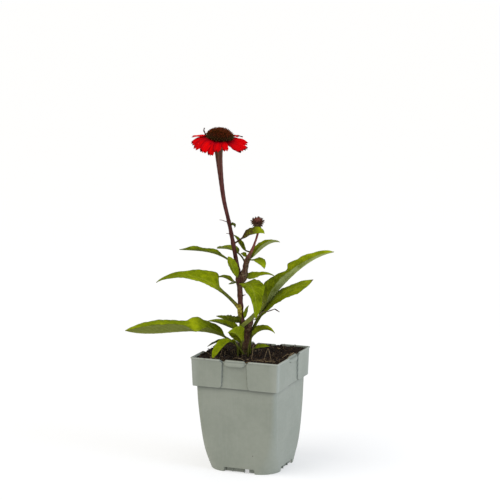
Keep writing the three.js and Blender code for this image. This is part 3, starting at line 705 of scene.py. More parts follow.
def crumb_relief(x, y):
    """Crumbs, cracks and grit on the surface of the mix."""
    spot = Vector((x, y, 3.7))
    broad = noise.fractal(spot / 7, 0.8, 2.1, 3)
    lump = 0.55 - noise.voronoi(spot / 3.1)[0][0]
    crumb = 0.5 - noise.voronoi(spot / 1.5)[0][0]
    return 1.1 * broad + 1.5 * lump + 0.7 * crumb


mix_reach = wall + wall_clearance         # how far inside the pot's outer face the mix ends
mix_rings = [pot_ring(h, body_reach(h, mix_reach)) for h in (8.3, 20, 50, 80, 101.5)]
mix_rings += [pot_ring(h, band_reach(h, 1, 0, mix_reach)) for h in (104.2, 125)]
mix_marks = [np.zeros((len(mix_rings) * len(pot_angles), 3))]
mix_edge = band_reach(131, 1, 0, mix_reach)
for share in np.linspace(1, 0.02, 66):
    x, y = spun(mix_edge * share, pot_angles, 0).T[:2]
    relief = np.array([crumb_relief(a, b) for a, b in zip(x, y)]) - 0.9 * smooth(share, 0.93, 1)
    mix_rings.append(np.stack([x, y, mix_height(x, y) + relief], 1))
    mix_marks.append(np.stack([relief, 0 * x, 0 * x], 1))
mix = Shells()
mix.add(loft(mix_rings), crumb=for_loft(np.vstack(mix_marks)))       # relief, share of bark, share of straw

dark_peat, w, shader, place = finish("dark_peat_mix", 0.95, 0.12)
relief, tint, paleness = w.mark("crumb")
peat = place_effect(w, mottle, Place=place, Size=210.0, Dark=mix_colours["peat"], Pale=mix_colours["crumb"])
raised = w.laid(peat["Color"], mix_colours["lump"], w.between(relief, -0.2, 1.6), 0.4)
fleck = w.between(w.noise(place, 620, 3, 0.7), 0.62, 0.7)
flecked = w.laid(raised, mix_colours["bark"], fleck, 0.35)
tinted = w.mix(tint, flecked, mix_colours["bark"])
w.feed(shader["Base Color"], w.mix(paleness, tinted, mix_colours["straw"]))
w.feed(shader["Normal"], w.bump(w.noise(place, 900, 6, 0.7), 0.0009, 0.9))
mix.piece("mix_surface", "potting_mix", dark_peat, "potting_mix")

crumbs_wanted = 620
crumb_field = 50                          # crumbs fall this far to each side of the middle
bark_share = 0.13
pale_share = 0.012
full_turn = 6.28
dice = np.random.default_rng(mix_seed)
lump = bmesh.new()
bmesh.ops.create_icosphere(lump, subdivisions=2, radius=1)
lump.verts.ensure_lookup_table()
lump_points = np.array([v.co[:] for v in lump.verts])
lump_faces = [[v.index for v in f.verts] for f in lump.faces]
lump.free()

crumbs = Shells()
for k in range(crumbs_wanted):
    x, y = dice.uniform(-crumb_field, crumb_field, 2)
    size = 0.45 + 1.0 * dice.random() ** 2.2
    bark = dice.random() < bark_share
    if bark:                              # bark falls as flat chips, peat as round crumbs
        stretch = np.array([dice.uniform(1.1, 2.1), dice.uniform(0.7, 1.1), dice.uniform(0.25, 0.5)])
    else:
        stretch = dice.uniform(0.7, 1.25, 3)
    knobbly = 1 + 0.3 * dice.standard_normal(len(lump_points))[:, None] * 0.6
    turned_by = np.array(Matrix.Rotation(dice.uniform(0, full_turn), 3, "Z")
                         @ Matrix.Rotation(dice.uniform(-0.5, 0.5), 3, "X"))
    shape = (lump_points * knobbly * stretch * size) @ turned_by.T
    height = mix_height(x, y) + crumb_relief(x, y)
    tone = (dice.uniform(0, 1.2), dice.uniform(0.1, 0.75) if bark else dice.uniform(0, 0.18),
            0.5 if dice.random() < pale_share else 0)
    crumbs.add((shape + [x, y, height + 0.25 * size], lump_faces), crumb=tone)
crumbs.piece("mix_crumbs", "potting_mix", dark_peat)


def sides_of(path):
    """Steady sideways directions along a path: (tangents, across, other)."""
    tangents = np.gradient(path, axis=0)
    tangents /= np.linalg.norm(tangents, axis=1)[:, None]
    start = np.array([0, 0, 1.0]) if abs(tangents[0][2]) < 0.9 else np.array([0, 1.0, 0])
    across = []
    for tangent in tangents:
        start = start - tangent * np.dot(start, tangent)
        start = start / np.linalg.norm(start)
        across.append(start)
    across = np.array(across)
    return tangents, across, np.cross(tangents, across)


def hoops(path, reach):
    """Rings round a path: how far out each point is, by its place along and its direction."""
    across, other = sides_of(path)[1:]
    around = all_round(reach.shape[1])
    ways = np.cos(around)[None, :, None] * across[:, None] + np.sin(around)[None, :, None] * other[:, None]
    return path[:, None] + ways * reach[:, :, None]


def thread(path, radii, corners=6):
    """A thin round thread along a path."""
    radii = np.broadcast_to(radii, len(path))[:, None]
    return loft(hoops(path, np.broadcast_to(radii, (len(path), corners))))


def curve_through(knots, per_span=12):
    """A smooth path through knots, evenly eased whatever their spacing."""
    knots = np.array(knots, float)
    ends = np.vstack([2 * knots[0] - knots[1], knots, 2 * knots[-1] - knots[-2]])
    path = []
    for a, b, c, d in zip(ends, ends[1:], ends[2:], ends[3:]):
        before, span, later = (np.linalg.norm(q - p) ** 0.5 for p, q in ((a, b), (b, c), (c, d)))
        leave = ((b - a) / before - (c - a) / (before + span) + (c - b) / span) * span
        arrive = ((c - b) / span - (d - b) / (span + later) + (d - c) / later) * span
        for t in np.linspace(0, 1, per_span, endpoint=False):
            path.append(eased(t, b, c, leave, arrive))
    return np.array(path + [knots[-1]])


roots_wanted = 330
root_field = 48
root_steps = 9
field_edge = 49.5
raised_share = 0.16                       # roots that arch well clear of the mix
pale_root_share = 0.3
roots = Shells()
for k in range(roots_wanted):
    x, y = dice.uniform(-root_field, root_field, 2)
    heading, bend = dice.uniform(0, full_turn), dice.uniform(-0.5, 0.5)
    step = (3.5 + 15 * dice.random() ** 1.8) / root_steps
    arch = dice.uniform(0.2, 1.2) + (dice.uniform(1, 4) if dice.random() < raised_share else 0)
    directions = heading + np.cumsum(np.full(root_steps, bend) + dice.uniform(-0.25, 0.25, root_steps))
    xs = np.clip(x + np.cumsum(np.cos(directions)) * step, -field_edge, field_edge)
    ys = np.clip(y + np.cumsum(np.sin(directions)) * step, -field_edge, field_edge)
    risen = np.sin(np.linspace(0, 1, root_steps) * math.pi)
    zs = mix_height(xs, ys) + 0.5 + arch * risen - 0.9 * (1 - risen)
    pale = dice.random() < pale_root_share
    tone = (0.6, dice.uniform(0.25, 0.9), dice.uniform(0.15, 0.6) if pale else 0)
    roots.add(thread(np.stack([xs, ys, zs], 1), dice.uniform(0.1, 0.26), 5), crumb=tone)

straws = [                                # pale bents and roots that stand up out of the mix
    [(20.6, -11.4, 127), (21.6, -12, 132), (24.4, -13.4, 140), (27.2, -15, 144.6), (29.6, -16.2, 139),
     (31.4, -17.2, 133), (32.4, -17.6, 127)],
    [(8, -18.8, 127), (8.2, -19, 133), (9.6, -18.8, 141), (10.2, -18.5, 147.8), (12.4, -18, 149)],
    [(-32.8, -17.6, 127), (-32.2, -17.6, 132), (-30.4, -17.4, 137), (-29.7, -17.2, 140)],
    [(14, -22, 129.6), (17, -25, 131.8), (22, -26, 132.2), (26, -24, 130.4)],
    [(27, -24, 130.4), (31, -28, 132.4), (36, -25, 132), (38, -19, 131)],
    [(6, -36, 129.6), (10, -39, 132.2), (16, -38, 131.6), (19, -34, 130)],
    [(-44, -26, 130), (-40, -31, 133.4), (-34, -33, 133), (-28, -32, 130.4)],
    [(38, 2, 131), (42, 6, 134), (44, 12, 134), (43, 18, 131.6)],
    [(-50, -30, 130), (-50.4, -30, 135.4), (-49.6, -29, 138.4), (-45, -27, 136.8), (-41, -23, 133)],
    [(46, -4, 131), (49, -1, 135.6), (51, 4, 137.4), (50, 10, 137), (47, 17, 133)],
    [(49, -6, 131), (51, 0, 136.6), (49, 7, 136.8), (44, 9, 133.6)],
    [(2, -24, 129), (-2, -28, 133), (-8, -30, 134), (-13, -28, 131)],
]
for knots in straws:
    path = curve_through(knots, 6)
    roots.add(thread(path, np.linspace(0.34, 0.2, len(path))), crumb=(1, 0.7, 0.62))
chip_size = (2.6, 1.5, 0.5)
for x, y, lift, turned_by in ((47, 13, 1.2, 0.4), (-36, -37, 1.0, 1.9), (22, 34, 1.0, 2.6)):
    chip = (lump_points * chip_size) @ np.array(Matrix.Rotation(turned_by, 3, "Z")).T
    roots.add((chip + [x, y, float(mix_height(x, y)) + lift], lump_faces), crumb=(1, 0.5, 0.5))
roots.piece("mix_roots", "potting_mix", dark_peat)

# ======================================================================================
# Stems
# One woody, wine-red flower stem, faintly ribbed, with a swollen joint where each leaf
# leaves it. The bud's branch parts from it at a knuckle and a short side shoot lower down.
# ======================================================================================

joint_spread = 2.6


class Stalk:
    """A grown stem through its points (x, y, z, radius), swollen at its joints."""

    def __init__(self, knots, joints):
        self.path = curve_through([k[:3] for k in knots], 60)
        self.girth = [(k[2], k[3]) for k in knots]
        self.joints = joints

    def at(self, height):
        """The point of the stem's middle line at this height."""
        return np.array([np.interp(height, self.path[:, 2], self.path[:, k]) for k in range(3)])

    def shell(self, spacing=1.6, corners=36):
        """Its skin: lightly ribbed along its length, a ring every few millimetres."""
        steps = np.linalg.norm(np.diff(self.path, axis=0), axis=1)
        gone = np.concatenate([[0], np.cumsum(steps)])
        wanted = np.linspace(0, gone[-1], int(gone[-1] / spacing))
        path = np.stack([np.interp(wanted, gone, self.path[:, k]) for k in range(3)], 1)
        heights = path[:, 2:3]
        radius = hermite(self.girth, path[:, 2])
        for height, swelling in self.joints:
            radius = radius + swelling * hump(path[:, 2], height, joint_spread)
        around = all_round(corners)
        ribs = 0.05 * np.sin(8 * around)[None] + 0.03 * np.sin(13 * around[None] + heights * 0.05)
        wobble = 0.05 * np.sin(heights * 0.9 + 2 * np.sin(around)[None])
        return loft(hoops(path, radius[:, None] * (1 + ribs) + wobble))


flower_stem = Stalk([
    (-8, -3.2, 118, 3.2), (-8.2, -3.2, 147, 3.4), (-9, -3.6, 166, 3.2), (-11, -4.4, 182, 3),
    (-11.6, -4.6, 194, 2.9), (-12.6, -5, 216, 3.1), (-15, -6, 236, 2.7), (-19, -7.6, 262, 2.3),
    (-24, -9.5, 290, 2.15), (-29.4, -11.6, 316, 2.4), (-33, -13, 346, 3), (-35.6, -12, 372, 4.6),
    (-35.2, -12.2, 379, 5.3)],
    [(145, 0.5), (163, 0.5), (171, 0.5), (190, 0.6), (203, 0.4), (219, 0.9), (223, 0.8), (233, 0.6),
     (265, 0.4), (276, 0.3), (290, 0.3)])
bud_stem = Stalk([
    (-12.4, -5, 216, 2.6), (-8.8, -3, 226, 3.6), (-7, -1.2, 234, 3), (-6, 0, 242, 2.7),
    (-2.6, 2.2, 251, 1.9), (0.6, 4, 259, 1.45), (5.4, 7.2, 276, 1.3), (5.4, 8, 286, 1.9)],
    [(222, 1.2), (226, 1.6), (230, 0.9), (238, 0.6), (244, 0.8), (249, 0.5), (255, 0.3)])
side_shoot = Stalk([
    (-6.4, -3.4, 139, 3), (-5.2, -2.4, 149, 3.3), (-4.4, -1.4, 158, 3.7), (-3, -0.4, 167, 4.1),
    (-1.4, 0.6, 172.6, 3.5), (0, 1.2, 176.6, 1.8)], [(163, 0.5), (171, 0.4)])


def straight(table, at):
    """A line from each (place, value) pair to the next."""
    return np.interp(at, *np.array(table, float).T)


stem_looks = {                            # height, share: how green, how pink and how woody each stem is
    "flower": ([(118, 0.5), (142, 0.45), (152, 0.12), (175, 0.05), (340, 0.0), (362, 0.15), (374, 0.4),
                (380, 0.6)],
               [(118, 0), (200, 0.03), (250, 0.03), (300, 0.05), (340, 0.1), (365, 0.25), (380, 0.2)],
               [(118, 0.6), (150, 0.35), (190, 0.15), (200, 0.25), (216, 0.5), (226, 0.4), (236, 0.05),
                (380, 0.15)]),
    "bud": ([(216, 0.1), (226, 0.1), (245, 0.15), (252, 0.3), (259, 0.1), (286, 0.25)],
            [(216, 0.0), (236, 0.1), (246, 0.25), (254, 0.8), (262, 1), (276, 0.7), (286, 0.3)],
            [(216, 1), (230, 1), (238, 0.75), (247, 0.75), (254, 0.2), (286, 0.1)]),
    "shoot": ([(139, 0.1), (172, 0.1), (184, 0.6)], [(139, 0), (184, 0)],
              [(139, 0.5), (155, 0.6), (170, 0.75), (184, 0.5)]),
}
stem_colours = {
    "wine": (0.030, 0.008, 0.0075), "wine_streak": (0.088, 0.026, 0.023), "pink": (0.17, 0.035, 0.034),
    "pink_streak": (0.30, 0.075, 0.068), "green": (0.125, 0.12, 0.04), "wood": (0.17, 0.13, 0.07),
    "crack": (0.022, 0.012, 0.008), "pore": (0.22, 0.15, 0.10),
}

stem_skin, w, shader, place = finish("wine_red_stem_skin", 0.5, 0.03)
green, pink, woody = w.mark("stem")
streaks = w.noise(w.stretched(place, (900, 900, 38)), 1.0, 3, 0.6)
streak = w.between(streaks, 0.42, 0.6)
blotch = w.between(w.noise(place, 150, 4, 0.65), 0.42, 0.6)
knots = w.between(w.noise(place, 300, 4, 0.7), 0.46, 0.58)
wine = w.mix(streak, stem_colours["wine"], stem_colours["wine_streak"])
blushed = w.mix(pink, wine, w.mix(streak, stem_colours["pink"], stem_colours["pink_streak"]))
greened = w.laid(blushed, stem_colours["green"], green, w.plus(w.times(streak, 0.6), 0.4))
barked = w.laid(greened, stem_colours["wood"], woody, w.plus(w.times(knots, 0.7), 0.12))
cracks = w.between(w.noise(w.stretched(place, (1, 1, 2.2)), 340, 3, 0.6), 0.53, 0.6)
cracked = w.laid(barked, stem_colours["crack"], w.times(cracks, woody), 0.8)
pores = w.between(w.noise(w.stretched(place, (1, 1, 0.35)), 1500, 2, 0.5), 0.68, 0.74)
w.feed(shader["Base Color"], w.laid(cracked, stem_colours["pore"], pores, 0.35))
w.feed(shader["Roughness"], w.plus(w.times(blotch, 0.2), 0.4))
w.feed(shader["Normal"], w.bump(w.plus(streaks, w.times(w.noise(place, 1400, 3), 0.3)), 0.0004, 0.7))

for stalk, slot, node, look in ((flower_stem, "stem", "flower_stem", "flower"),
                                (bud_stem, "stem", "bud_stem", "bud"),
                                (side_shoot, "side_shoot", "side_shoot", "shoot")):
    grown = Shells()
    shell = stalk.shell()
    heights = shell[0][:, 2]
    grown.add(shell, stem=np.stack([straight(table, heights) for table in stem_looks[look]], 1))
    grown.piece(node + "_grown", slot, stem_skin, node)

# ======================================================================================
# Leaves
# Lance-shaped leaves on channelled stalks, each grown from the stem or from the crown in
# the mix: a thin blade folded along its midrib, puckered between arching side veins.
# ======================================================================================

leaf_skin_half = 0.26                     # half the blade's thickness
leaf_habit = {                            # what a leaf is like unless its row says otherwise
    "root": 0, "turn": 0, "stalk": 0.2, "width": 20, "widest": 0.42, "taper": 1, "roll": (0, 0), "fold": 24,
    "wave": (0.5, 0.5), "waves": 2.5, "phase": 0.2, "stalk_width": 2, "teeth": 0, "outline": None,
    "dip": None, "sunlit": None, "opening": 6, "flare": 0.55, "sheath": None, "clasp": 0, "red": 0,
    "tip": 0.15, "grey": 0, "pale": 0, "stalk_tone": 0.3,
}

# Seat: where the leaf leaves its stem. Root: how far the stalk runs on below it. Heading: direction in
# degrees from +X, which turns by the tip. Pitch: degrees above level at the seat, halfway and at the tip.
# Roll: degrees at the seat and the tip that the left side is tipped up, looking out from the stem.
# Stalk: its share of the length. Opening: how sharply the blade widens from it. Flare: how much wider the
# stalk is at its seat. Outline: share along the blade, half width on its right and on its left; without
# one, width, widest and taper give it. Fold: degrees that each half rises from the midrib. Wave, waves,
# phase: the margins' waves. Dip: where along the blade the left half sags, over what share, how deep.
# Sheath: from and to which height a foot wraps the stem, facing where, how far round, how thick.
# Tone: how light the green is at the stalk and the tip, partly the leaf's own green and partly painted light
# and shade (lit leaves lighter, shaded ones darker). Sunlit: a painted highlight, over what share, how much.
# Clasp: how yellow the foot is. Red, tip: flushed red, browned tip. Grey, pale: a duller underside.
leaf_rows = {
    "leaf_top_over_bud_stem": dict(
        seat=flower_stem.at(264.4), heading=0, length=44, pitch=(25, 31, -30), stalk=0.3,
        roll=(40, 38), fold=13, tone=(0.15, 0.75), red=1, grey=0.2, outline=[
            (0, 1, 1.2), (0.1, 3.4, 4.4), (0.22, 4.8, 6.4), (0.38, 5.4, 7.2), (0.55, 5.4, 7),
            (0.7, 4.6, 6.2), (0.84, 3, 4.4), (0.94, 1.3, 2.2), (1, 0, 0)]),
    "leaf_back_of_bud_stem": dict(
        seat=bud_stem.at(255), heading=172, length=32, pitch=(-22, 51, 34), stalk=0.25, width=11,
        fold=21, tone=(0.2, 0.3), red=0.2),
    "leaf_bud_stem_right": dict(
        seat=bud_stem.at(243.5), heading=46, length=49, pitch=(29, 34, -16), stalk=0.11, width=19,
        fold=33, roll=(-6, -4), taper=1.1, tone=(0.4, 0.6), grey=0.9, pale=0.7),
    "leaf_bud_stem_curled": dict(
        seat=bud_stem.at(245), heading=-21, length=31, pitch=(4, -6, -80), width=15, fold=12,
        roll=(0, 14), tone=(0.3, 0.6)),
    "leaf_bud_stem_small": dict(
        seat=bud_stem.at(249), heading=182, length=10.6, pitch=(0, 20, 20), width=9, fold=15,
        roll=(52, 52), tone=(0.5, 0.5)),
    "leaf_behind_flower_stem": dict(
        seat=bud_stem.at(238), heading=160, length=53, pitch=(77, 13, -7), stalk=0.37, width=18,
        taper=0.7, tone=(0.4, 0.5)),
    "leaf_upper_left": dict(
        seat=flower_stem.at(233), heading=192, length=77, pitch=(62, 12, 2), stalk=0.18, fold=24,
        wave=(0.3, 0.5), tone=(0.2, 0.3), grey=0.3, outline=[
            (0, 0.9, 0.9), (0.1, 2, 3.4), (0.2, 3.8, 6), (0.3, 7.8, 6.6), (0.4, 7.6, 5.3),
            (0.5, 6.4, 4.5), (0.6, 6.9, 3.6), (0.7, 9, 2.8), (0.8, 7.8, 2.2), (0.9, 3.2, 1.6), (1, 0, 0)]),
    "leaf_upright_by_stem": dict(
        seat=flower_stem.at(223), heading=258, length=37, pitch=(30, 60, 49), stalk=0.1, width=13,
        widest=0.5, taper=0.8, roll=(0, 17), tone=(0.6, 0.7)),
    "leaf_middle_left": dict(
        seat=flower_stem.at(186), heading=202, turn=-3, length=115, pitch=(50, 23, -36), stalk=0.25,
        fold=14, roll=(-21, -21), wave=(0.7, 1.1), waves=3.3, phase=0.8, stalk_width=4.2, flare=1.05,
        clasp=1, sheath=(176, 193, -112, 82, 1.1), stalk_tone=0.35, tone=(0.85, 0.3), outline=[
            (0, 1.9, 1.9), (0.04, 3, 4), (0.1, 5, 6), (0.14, 11, 7.4), (0.17, 17.5, 8.6), (0.21, 21, 10),
            (0.3, 18.4, 12.2), (0.4, 13.8, 12.9), (0.5, 10.3, 12.1), (0.6, 7.3, 11.8), (0.7, 5.4, 10.8),
            (0.8, 3.6, 8.8), (0.9, 2.4, 5), (0.96, 1.2, 2.6), (1, 0, 0)]),
    "leaf_small_left": dict(
        seat=flower_stem.at(219.5), heading=170, length=31, pitch=(-20, 19, -32), width=11, widest=0.5,
        tone=(0.3, 0.5), red=0.3),
    "leaf_tiny_left": dict(
        seat=flower_stem.at(219.2), heading=236, length=15, pitch=(12, -8, 5), width=4, stalk=0.4,
        stalk_tone=0, tone=(0.1, 0.3)),
    "leaf_long_left": dict(
        seat=(-11, -8.5, 140), root=12, heading=212, turn=-4, length=142, pitch=(55, -1, 17),
        stalk=0.13, fold=28, roll=(3, 3), wave=(0, 0.8), waves=2.9, phase=0.4, stalk_width=3.4,
        tone=(0.1, 0.8), tip=0.2, grey=1, dip=(0.35, 0.075, 8), sunlit=(0.34, 0.06, 0.5), opening=16,
        outline=[
            (0, 1.6, 1.6), (0.04, 3, 2), (0.06, 8.6, 2.8), (0.08, 15, 4), (0.11, 18.6, 6), (0.14, 20, 7.4),
            (0.18, 20.6, 9.6), (0.25, 23, 16), (0.28, 25.8, 18), (0.31, 26.6, 19.5), (0.34, 25.4, 20.5),
            (0.37, 22.8, 21.3), (0.4, 20.8, 22), (0.45, 21.3, 23), (0.5, 22.3, 25), (0.6, 24.4, 28),
            (0.7, 24.6, 29.5), (0.8, 21.9, 26), (0.9, 14.3, 16.3), (0.96, 7.1, 6.8), (1, 0, 0)]),
    "leaf_lower_left": dict(
        seat=flower_stem.at(160.5), heading=178, length=47, pitch=(8, 15, -4), stalk=0.14, fold=26,
        tone=(0.45, 0.7), grey=0.2, outline=[
            (0, 1.2, 1.2), (0.08, 6, 6), (0.2, 9.6, 9), (0.35, 10.6, 9.6), (0.5, 9.6, 8.8), (0.7, 6.8, 7.2),
            (0.85, 3.8, 4.2), (0.95, 1.4, 1.6), (1, 0, 0)]),
    "leaf_toothed_left": dict(
        seat=flower_stem.at(171.6), heading=222, length=34, pitch=(0, 19, 22), stalk=0.06, fold=34,
        teeth=0.3, tone=(0, 0.35), red=0.25, grey=0.2, outline=[
            (0, 1.2, 1.2), (0.08, 5, 8), (0.2, 8.4, 12.4), (0.38, 8.8, 13.2), (0.6, 6.6, 10),
            (0.8, 3.8, 5.6), (0.93, 1.5, 2), (1, 0, 0)]),
    "leaf_front_diamond": dict(
        seat=flower_stem.at(143), heading=256, length=40, pitch=(58, 37, -5), stalk=0.1,
        fold=20, roll=(30, 48), tone=(0.55, 0.75), outline=[
            (0, 1.6, 1.6), (0.1, 4.6, 3.4), (0.25, 8, 6), (0.38, 9, 9.6), (0.48, 8.8, 12),
            (0.58, 7.8, 11.6), (0.7, 6, 8.8), (0.85, 3.2, 4.2), (0.95, 1.2, 1.6), (1, 0, 0)]),
    "leaf_over_rim": dict(
        seat=(-11.5, -14, 140), root=12, heading=250, length=54, pitch=(88, -14, -40), stalk=0.22,
        width=16, taper=0.6, fold=27, stalk_tone=0.4, tone=(0.45, 0.6)),
    "leaf_back_left_narrow": dict(
        seat=(-13.5, -5.5, 139), root=8, heading=182, length=45, pitch=(66, -6, -32), stalk=0.43,
        width=8, tone=(0.1, 0.2)),
    "leaf_low_right": dict(
        seat=(-1.6, -6.4, 137), root=8, heading=12, length=51, pitch=(89, 41, -46), stalk=0.4,
        width=18, widest=0.3, taper=1.2, fold=34, stalk_tone=0.45, tone=(0.5, 0.8), red=0.3),
    "leaf_small_upright": dict(
        seat=flower_stem.at(176), heading=-18, length=21, pitch=(0, 71, 58), width=8, tone=(0.35, 0.3)),
    "leaf_long_right": dict(
        seat=flower_stem.at(167.5) + (-0.2, -3.9, 0), heading=36, turn=2, length=143, pitch=(34, 44, 7),
        stalk=0.23, fold=40, roll=(-10, -10), wave=(0.5, 0.5), waves=3.6, stalk_width=6.6, flare=-0.3,
        sheath=(140, 170, -138, 70, 1.9), stalk_tone=0.75, tone=(0.25, 0.75), grey=0.85, pale=1, outline=[
            (0, 2.2, 2.2), (0.05, 4, 14), (0.1, 8, 19), (0.2, 10.8, 21.6), (0.3, 12.4, 22.4),
            (0.36, 13.8, 18.6), (0.42, 13, 15), (0.46, 11.4, 12.6), (0.49, 10.2, 13.4), (0.52, 9.6, 17.2),
            (0.56, 8.6, 17.4), (0.6, 7.6, 16.2), (0.7, 6.1, 13.6), (0.8, 4, 10.3), (0.9, 1.8, 7.1),
            (0.96, 0.8, 4.4), (1, 0, 0)]),
    "leaf_right": dict(
        seat=(-3.6, 3.4, 137), root=8, heading=14, turn=-2, length=122, pitch=(92, 45, 23),
        stalk=0.34, fold=2, roll=(20, 20), wave=(0.6, 0.6), waves=3.3, stalk_width=4.6, stalk_tone=0.25,
        tone=(0.3, 0.65), tip=0.9, outline=[
            (0, 2, 2), (0.05, 3.8, 8), (0.1, 6.4, 12), (0.2, 9.2, 16.5), (0.3, 10.6, 18),
            (0.4, 11.4, 16.6), (0.5, 12.6, 14), (0.6, 15.4, 12.2), (0.7, 18.6, 10.1), (0.8, 17, 8.3),
            (0.9, 12, 5.1), (0.96, 6.5, 2.2), (1, 0, 0)]),
    "leaf_front_drooping": dict(
        seat=flower_stem.at(216.8) + (1.3, 0.4, 0), heading=-49, turn=-7, length=86.5,
        pitch=(8, -15.5, -137), stalk=0.15, flare=0.1,
        fold=15, roll=(22, -8), wave=(0.8, 1), waves=2.9, phase=0.6, stalk_width=3.4, stalk_tone=0.6,
        tone=(0.25, 0.5), outline=[
            (0, 1.6, 1.6), (0.03, 2.4, 5), (0.07, 4.4, 9), (0.12, 6.8, 10), (0.2, 10, 11.3),
            (0.28, 11.6, 12.2), (0.36, 11.2, 13), (0.44, 11.1, 13.2), (0.52, 10.6, 14), (0.58, 9.4, 11.6),
            (0.65, 6.6, 9), (0.75, 4.6, 7.3), (0.85, 3.2, 4.6), (0.93, 1.8, 2.6), (1, 0, 0)]),
    "leaf_right_of_knuckle": dict(
        seat=bud_stem.at(228), heading=32, length=39, pitch=(-28, 8, -40), stalk=0.06, roll=(24, 10),
        fold=20, tone=(0.5, 0.75), outline=[
            (0, 2, 1.6), (0.06, 9, 4), (0.15, 13.4, 5.6), (0.3, 12.6, 5.8), (0.45, 9, 5.2), (0.6, 5.8, 4.2),
            (0.75, 3.2, 2.8), (0.9, 1.2, 1.2), (1, 0, 0)]),
    "bract_curled": dict(
        seat=flower_stem.at(286), heading=20, length=9, pitch=(45, -20, -110), stalk=0.1, width=10,
        fold=15, roll=(0, 10), tone=(0, 0), red=0.3),
    "leaf_on_soil_right": dict(
        seat=(0, -1.6, 138.4), root=6, heading=33, length=23, pitch=(20, 9, -6), width=11,
        roll=(0, 20), fold=16, tone=(0.4, 0.5), grey=0.8),
}


def two_faced(middle, up, above, below, across, along):
    """Rings round a thin blade's two faces, and each point's place across, along and which face."""
    across, along = np.broadcast_arrays(across, along)
    skins = [middle + up * lift[:, :, None] for lift in (above, below)]
    lies = [np.stack([across, along, np.full(along.shape, face)], 2) for face in (0.0, 1.0)]
    rings, lie = (np.concatenate([top, under[:, ::-1]], 1) for top, under in (skins, lies))
    return rings, lie.reshape(-1, 3)


